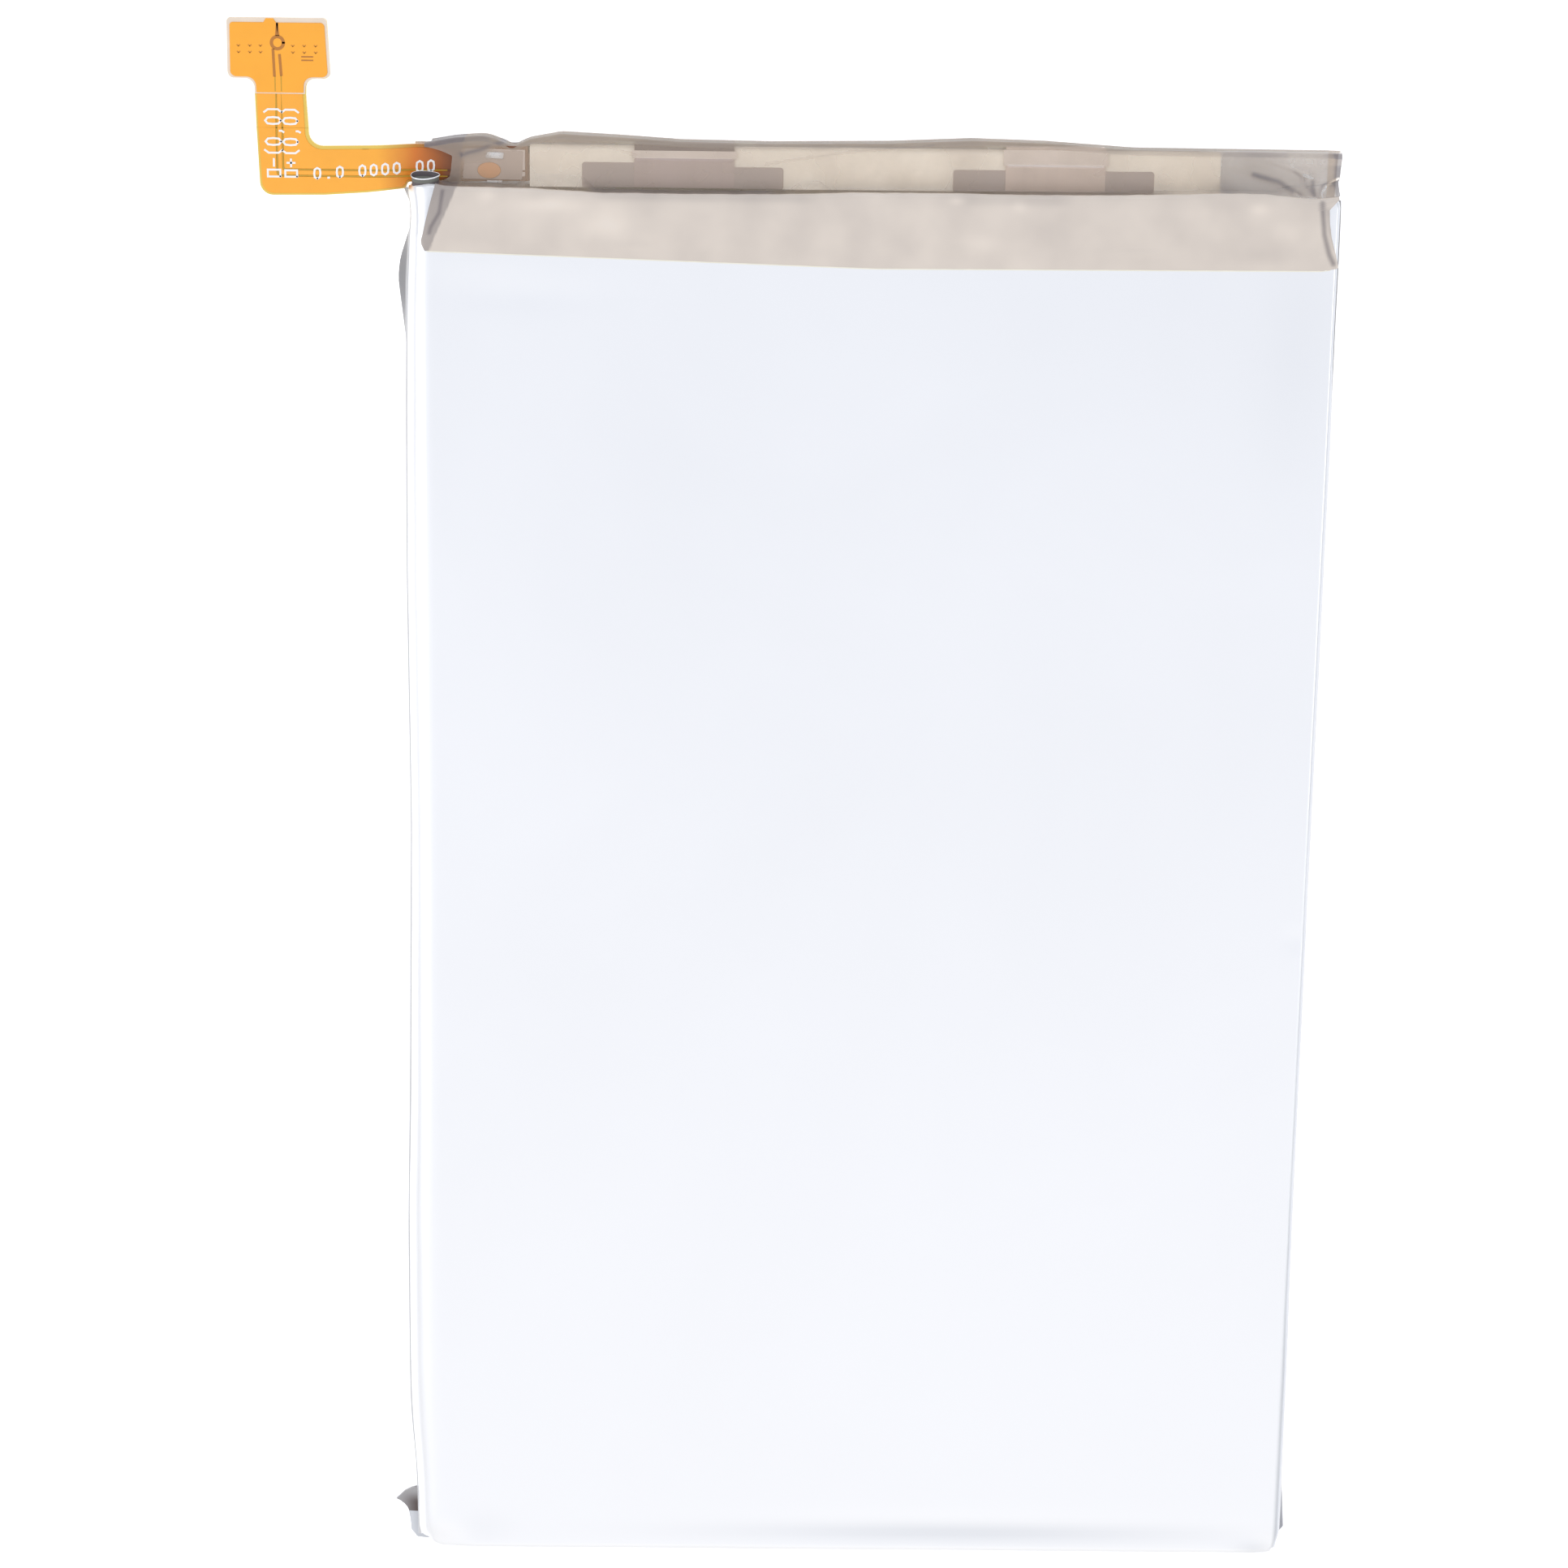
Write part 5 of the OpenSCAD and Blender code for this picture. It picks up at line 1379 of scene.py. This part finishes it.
ring_x, ring_y, ring_r = -37.88, 56.22, 0.38
turns = np.linspace(0, 2 * math.pi, 25)
ring = [(ring_x + ring_r * math.cos(a), ring_y + ring_r * math.sin(a)) for a in turns]
wedge = [[(ring_x, 57.42), (ring_x - 0.07, 56.68)], [(ring_x, 57.42), (ring_x + 0.07, 56.68)]]
legs = [[(-38.17, 55.80), (-38.11, 54.15)], [(-37.76, 55.46), (-37.68, 54.2)]]
head_parts.append(marks("head_ring", [ring], 0.20, "mark"))
head_parts.append(marks("head_wedge", wedge, 0.13, "mark"))
head_parts.append(marks("head_legs", legs, 0.17, "mark"))
head_parts.append(marks("head_lines", [[(MID_X[0] - 0.05, 54.1), (MID_X[0] - 0.05, 53.2)],
                                       [(MID_X[1] + 0.05, 54.15), (MID_X[1] + 0.05, 53.2)]], 0.07, "trace"))
neck_lines = [cut_up([(x, SPLIT), (x, 53.05)], 0.15) for x in (low_x, high_x)]
head_parts.append(strokes("neck_gaps", neck_lines, 0.08, above(FILM + 0.02, level_z), 0.0, 0.02,
                          M["trace"]))
# painted shade in small dents on the stiff plate
nicks = []
for gx in (-40.35, -39.63, -38.96, -36.91, -36.19, -35.47):
    for gy in (56.03, 55.62):
        nicks += [[(gx - 0.09, gy + 0.04), (gx, gy - 0.04)], [(gx, gy - 0.04), (gx + 0.09, gy + 0.04)]]
head_parts.append(marks("head_nicks", nicks, 0.07, "dent_shade"))
bars = [[(-36.36, y), (-35.66, y)] for y in (55.36, 55.14)]
head_parts.append(marks("head_bars", bars, 0.09, "mark"))
flex_b = join("flex_head_strip", head_parts)
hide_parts("flex_head_base", "flex_head_copper", "flex_head_coverlay", "head_stiffener")
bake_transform(flex_b)

# ---------------------------------------------------------------- stage, light and camera

SKY = 1.235                              # strength of the sky straight up
GLOW = 0.55                              # strength of the table's own light
FLOOR_HALF = 3500                        # half the table's size, in mm
# colour of the sky from +Y, through overhead, to -Y
SKY_COLORS = [(0.0, (0.645, 0.665, 0.705)), (0.5, (0.65, 0.685, 0.742)), (0.8, (0.965, 0.97, 0.975)),
              (1.0, (1, 1, 1))]


def floor():
    """A backlit white table, which keeps shadows faint."""
    xs = np.linspace(-FLOOR_HALF, FLOOR_HALF, 40)
    X, Y = np.meshgrid(xs, xs, indexing="ij")
    m, t, p = new_material("floor_white", grey(0.85), 0.7)
    mottled(t, p, "Base Color", cloud(t, object_coords(t), 30), 0.845, 0.855)
    p.inputs["Emission Color"].default_value = (1, 1, 1, 1)
    p.inputs["Emission Strength"].default_value = GLOW
    verts = np.stack([X, Y, np.full_like(X, -0.01)], -1).reshape(-1, 3)
    obj = make("studio_floor", verts, grid_faces(40, 40), [m])


def studio_world():
    """A pale sky, brighter and more neutral towards -Y, and dimmer towards the horizon."""
    world = bpy.data.worlds.new("studio")
    bpy.context.scene.world = world
    world.use_nodes = True
    t = world.node_tree
    sky = t.nodes["Background"]
    split = add_node(t, "ShaderNodeSeparateXYZ")
    t.links.new(add_node(t, "ShaderNodeTexCoord").outputs["Generated"], split.inputs["Vector"])
    side = math_node(t, "MULTIPLY_ADD", split.outputs["Y"], -0.5, 0.5, clamp=True)
    t.links.new(ramp(t, side, SKY_COLORS), sky.inputs["Color"])
    height = math_node(t, "MULTIPLY_ADD", split.outputs["Z"], 0.40, 0.66, clamp=True)
    t.links.new(math_node(t, "MULTIPLY", height, SKY), sky.inputs["Strength"])


def softbox(name, at, size, power):
    """A square area light aimed at the part."""
    data = bpy.data.lights.new(name, "AREA")
    data.shape = "SQUARE"
    data.size = size
    data.energy = power
    obj = bpy.data.objects.new(name, data)
    obj.location = at
    obj.rotation_euler = (-Vector(at)).to_track_quat("-Z", "Y").to_euler()
    bpy.context.scene.collection.objects.link(obj)


floor()
studio_world()
softbox("soft_left", (-0.62, 0.00, 0.50), 0.34, 1.1)
softbox("soft_right", (0.60, -0.05, 0.50), 0.28, 0.4)
softbox("soft_far", (0.05, 0.60, 0.62), 0.30, 0.4)

cam_data = bpy.data.cameras.new("camera")
cam_data.lens = 85.82
cam_data.sensor_width = 36
cam_data.clip_start, cam_data.clip_end = 0.01, 10
cam = bpy.data.objects.new("camera", cam_data)
cam.location = (-0.00772, 0.07095, 0.2442)
cam.rotation_euler = Euler((math.radians(-14.63), math.radians(-0.41), math.radians(0.71)), "XYZ")
bpy.context.scene.collection.objects.link(cam)
bpy.context.scene.camera = cam
bpy.context.scene.view_settings.view_transform = "Standard"
bpy.context.scene.view_settings.look = "None"
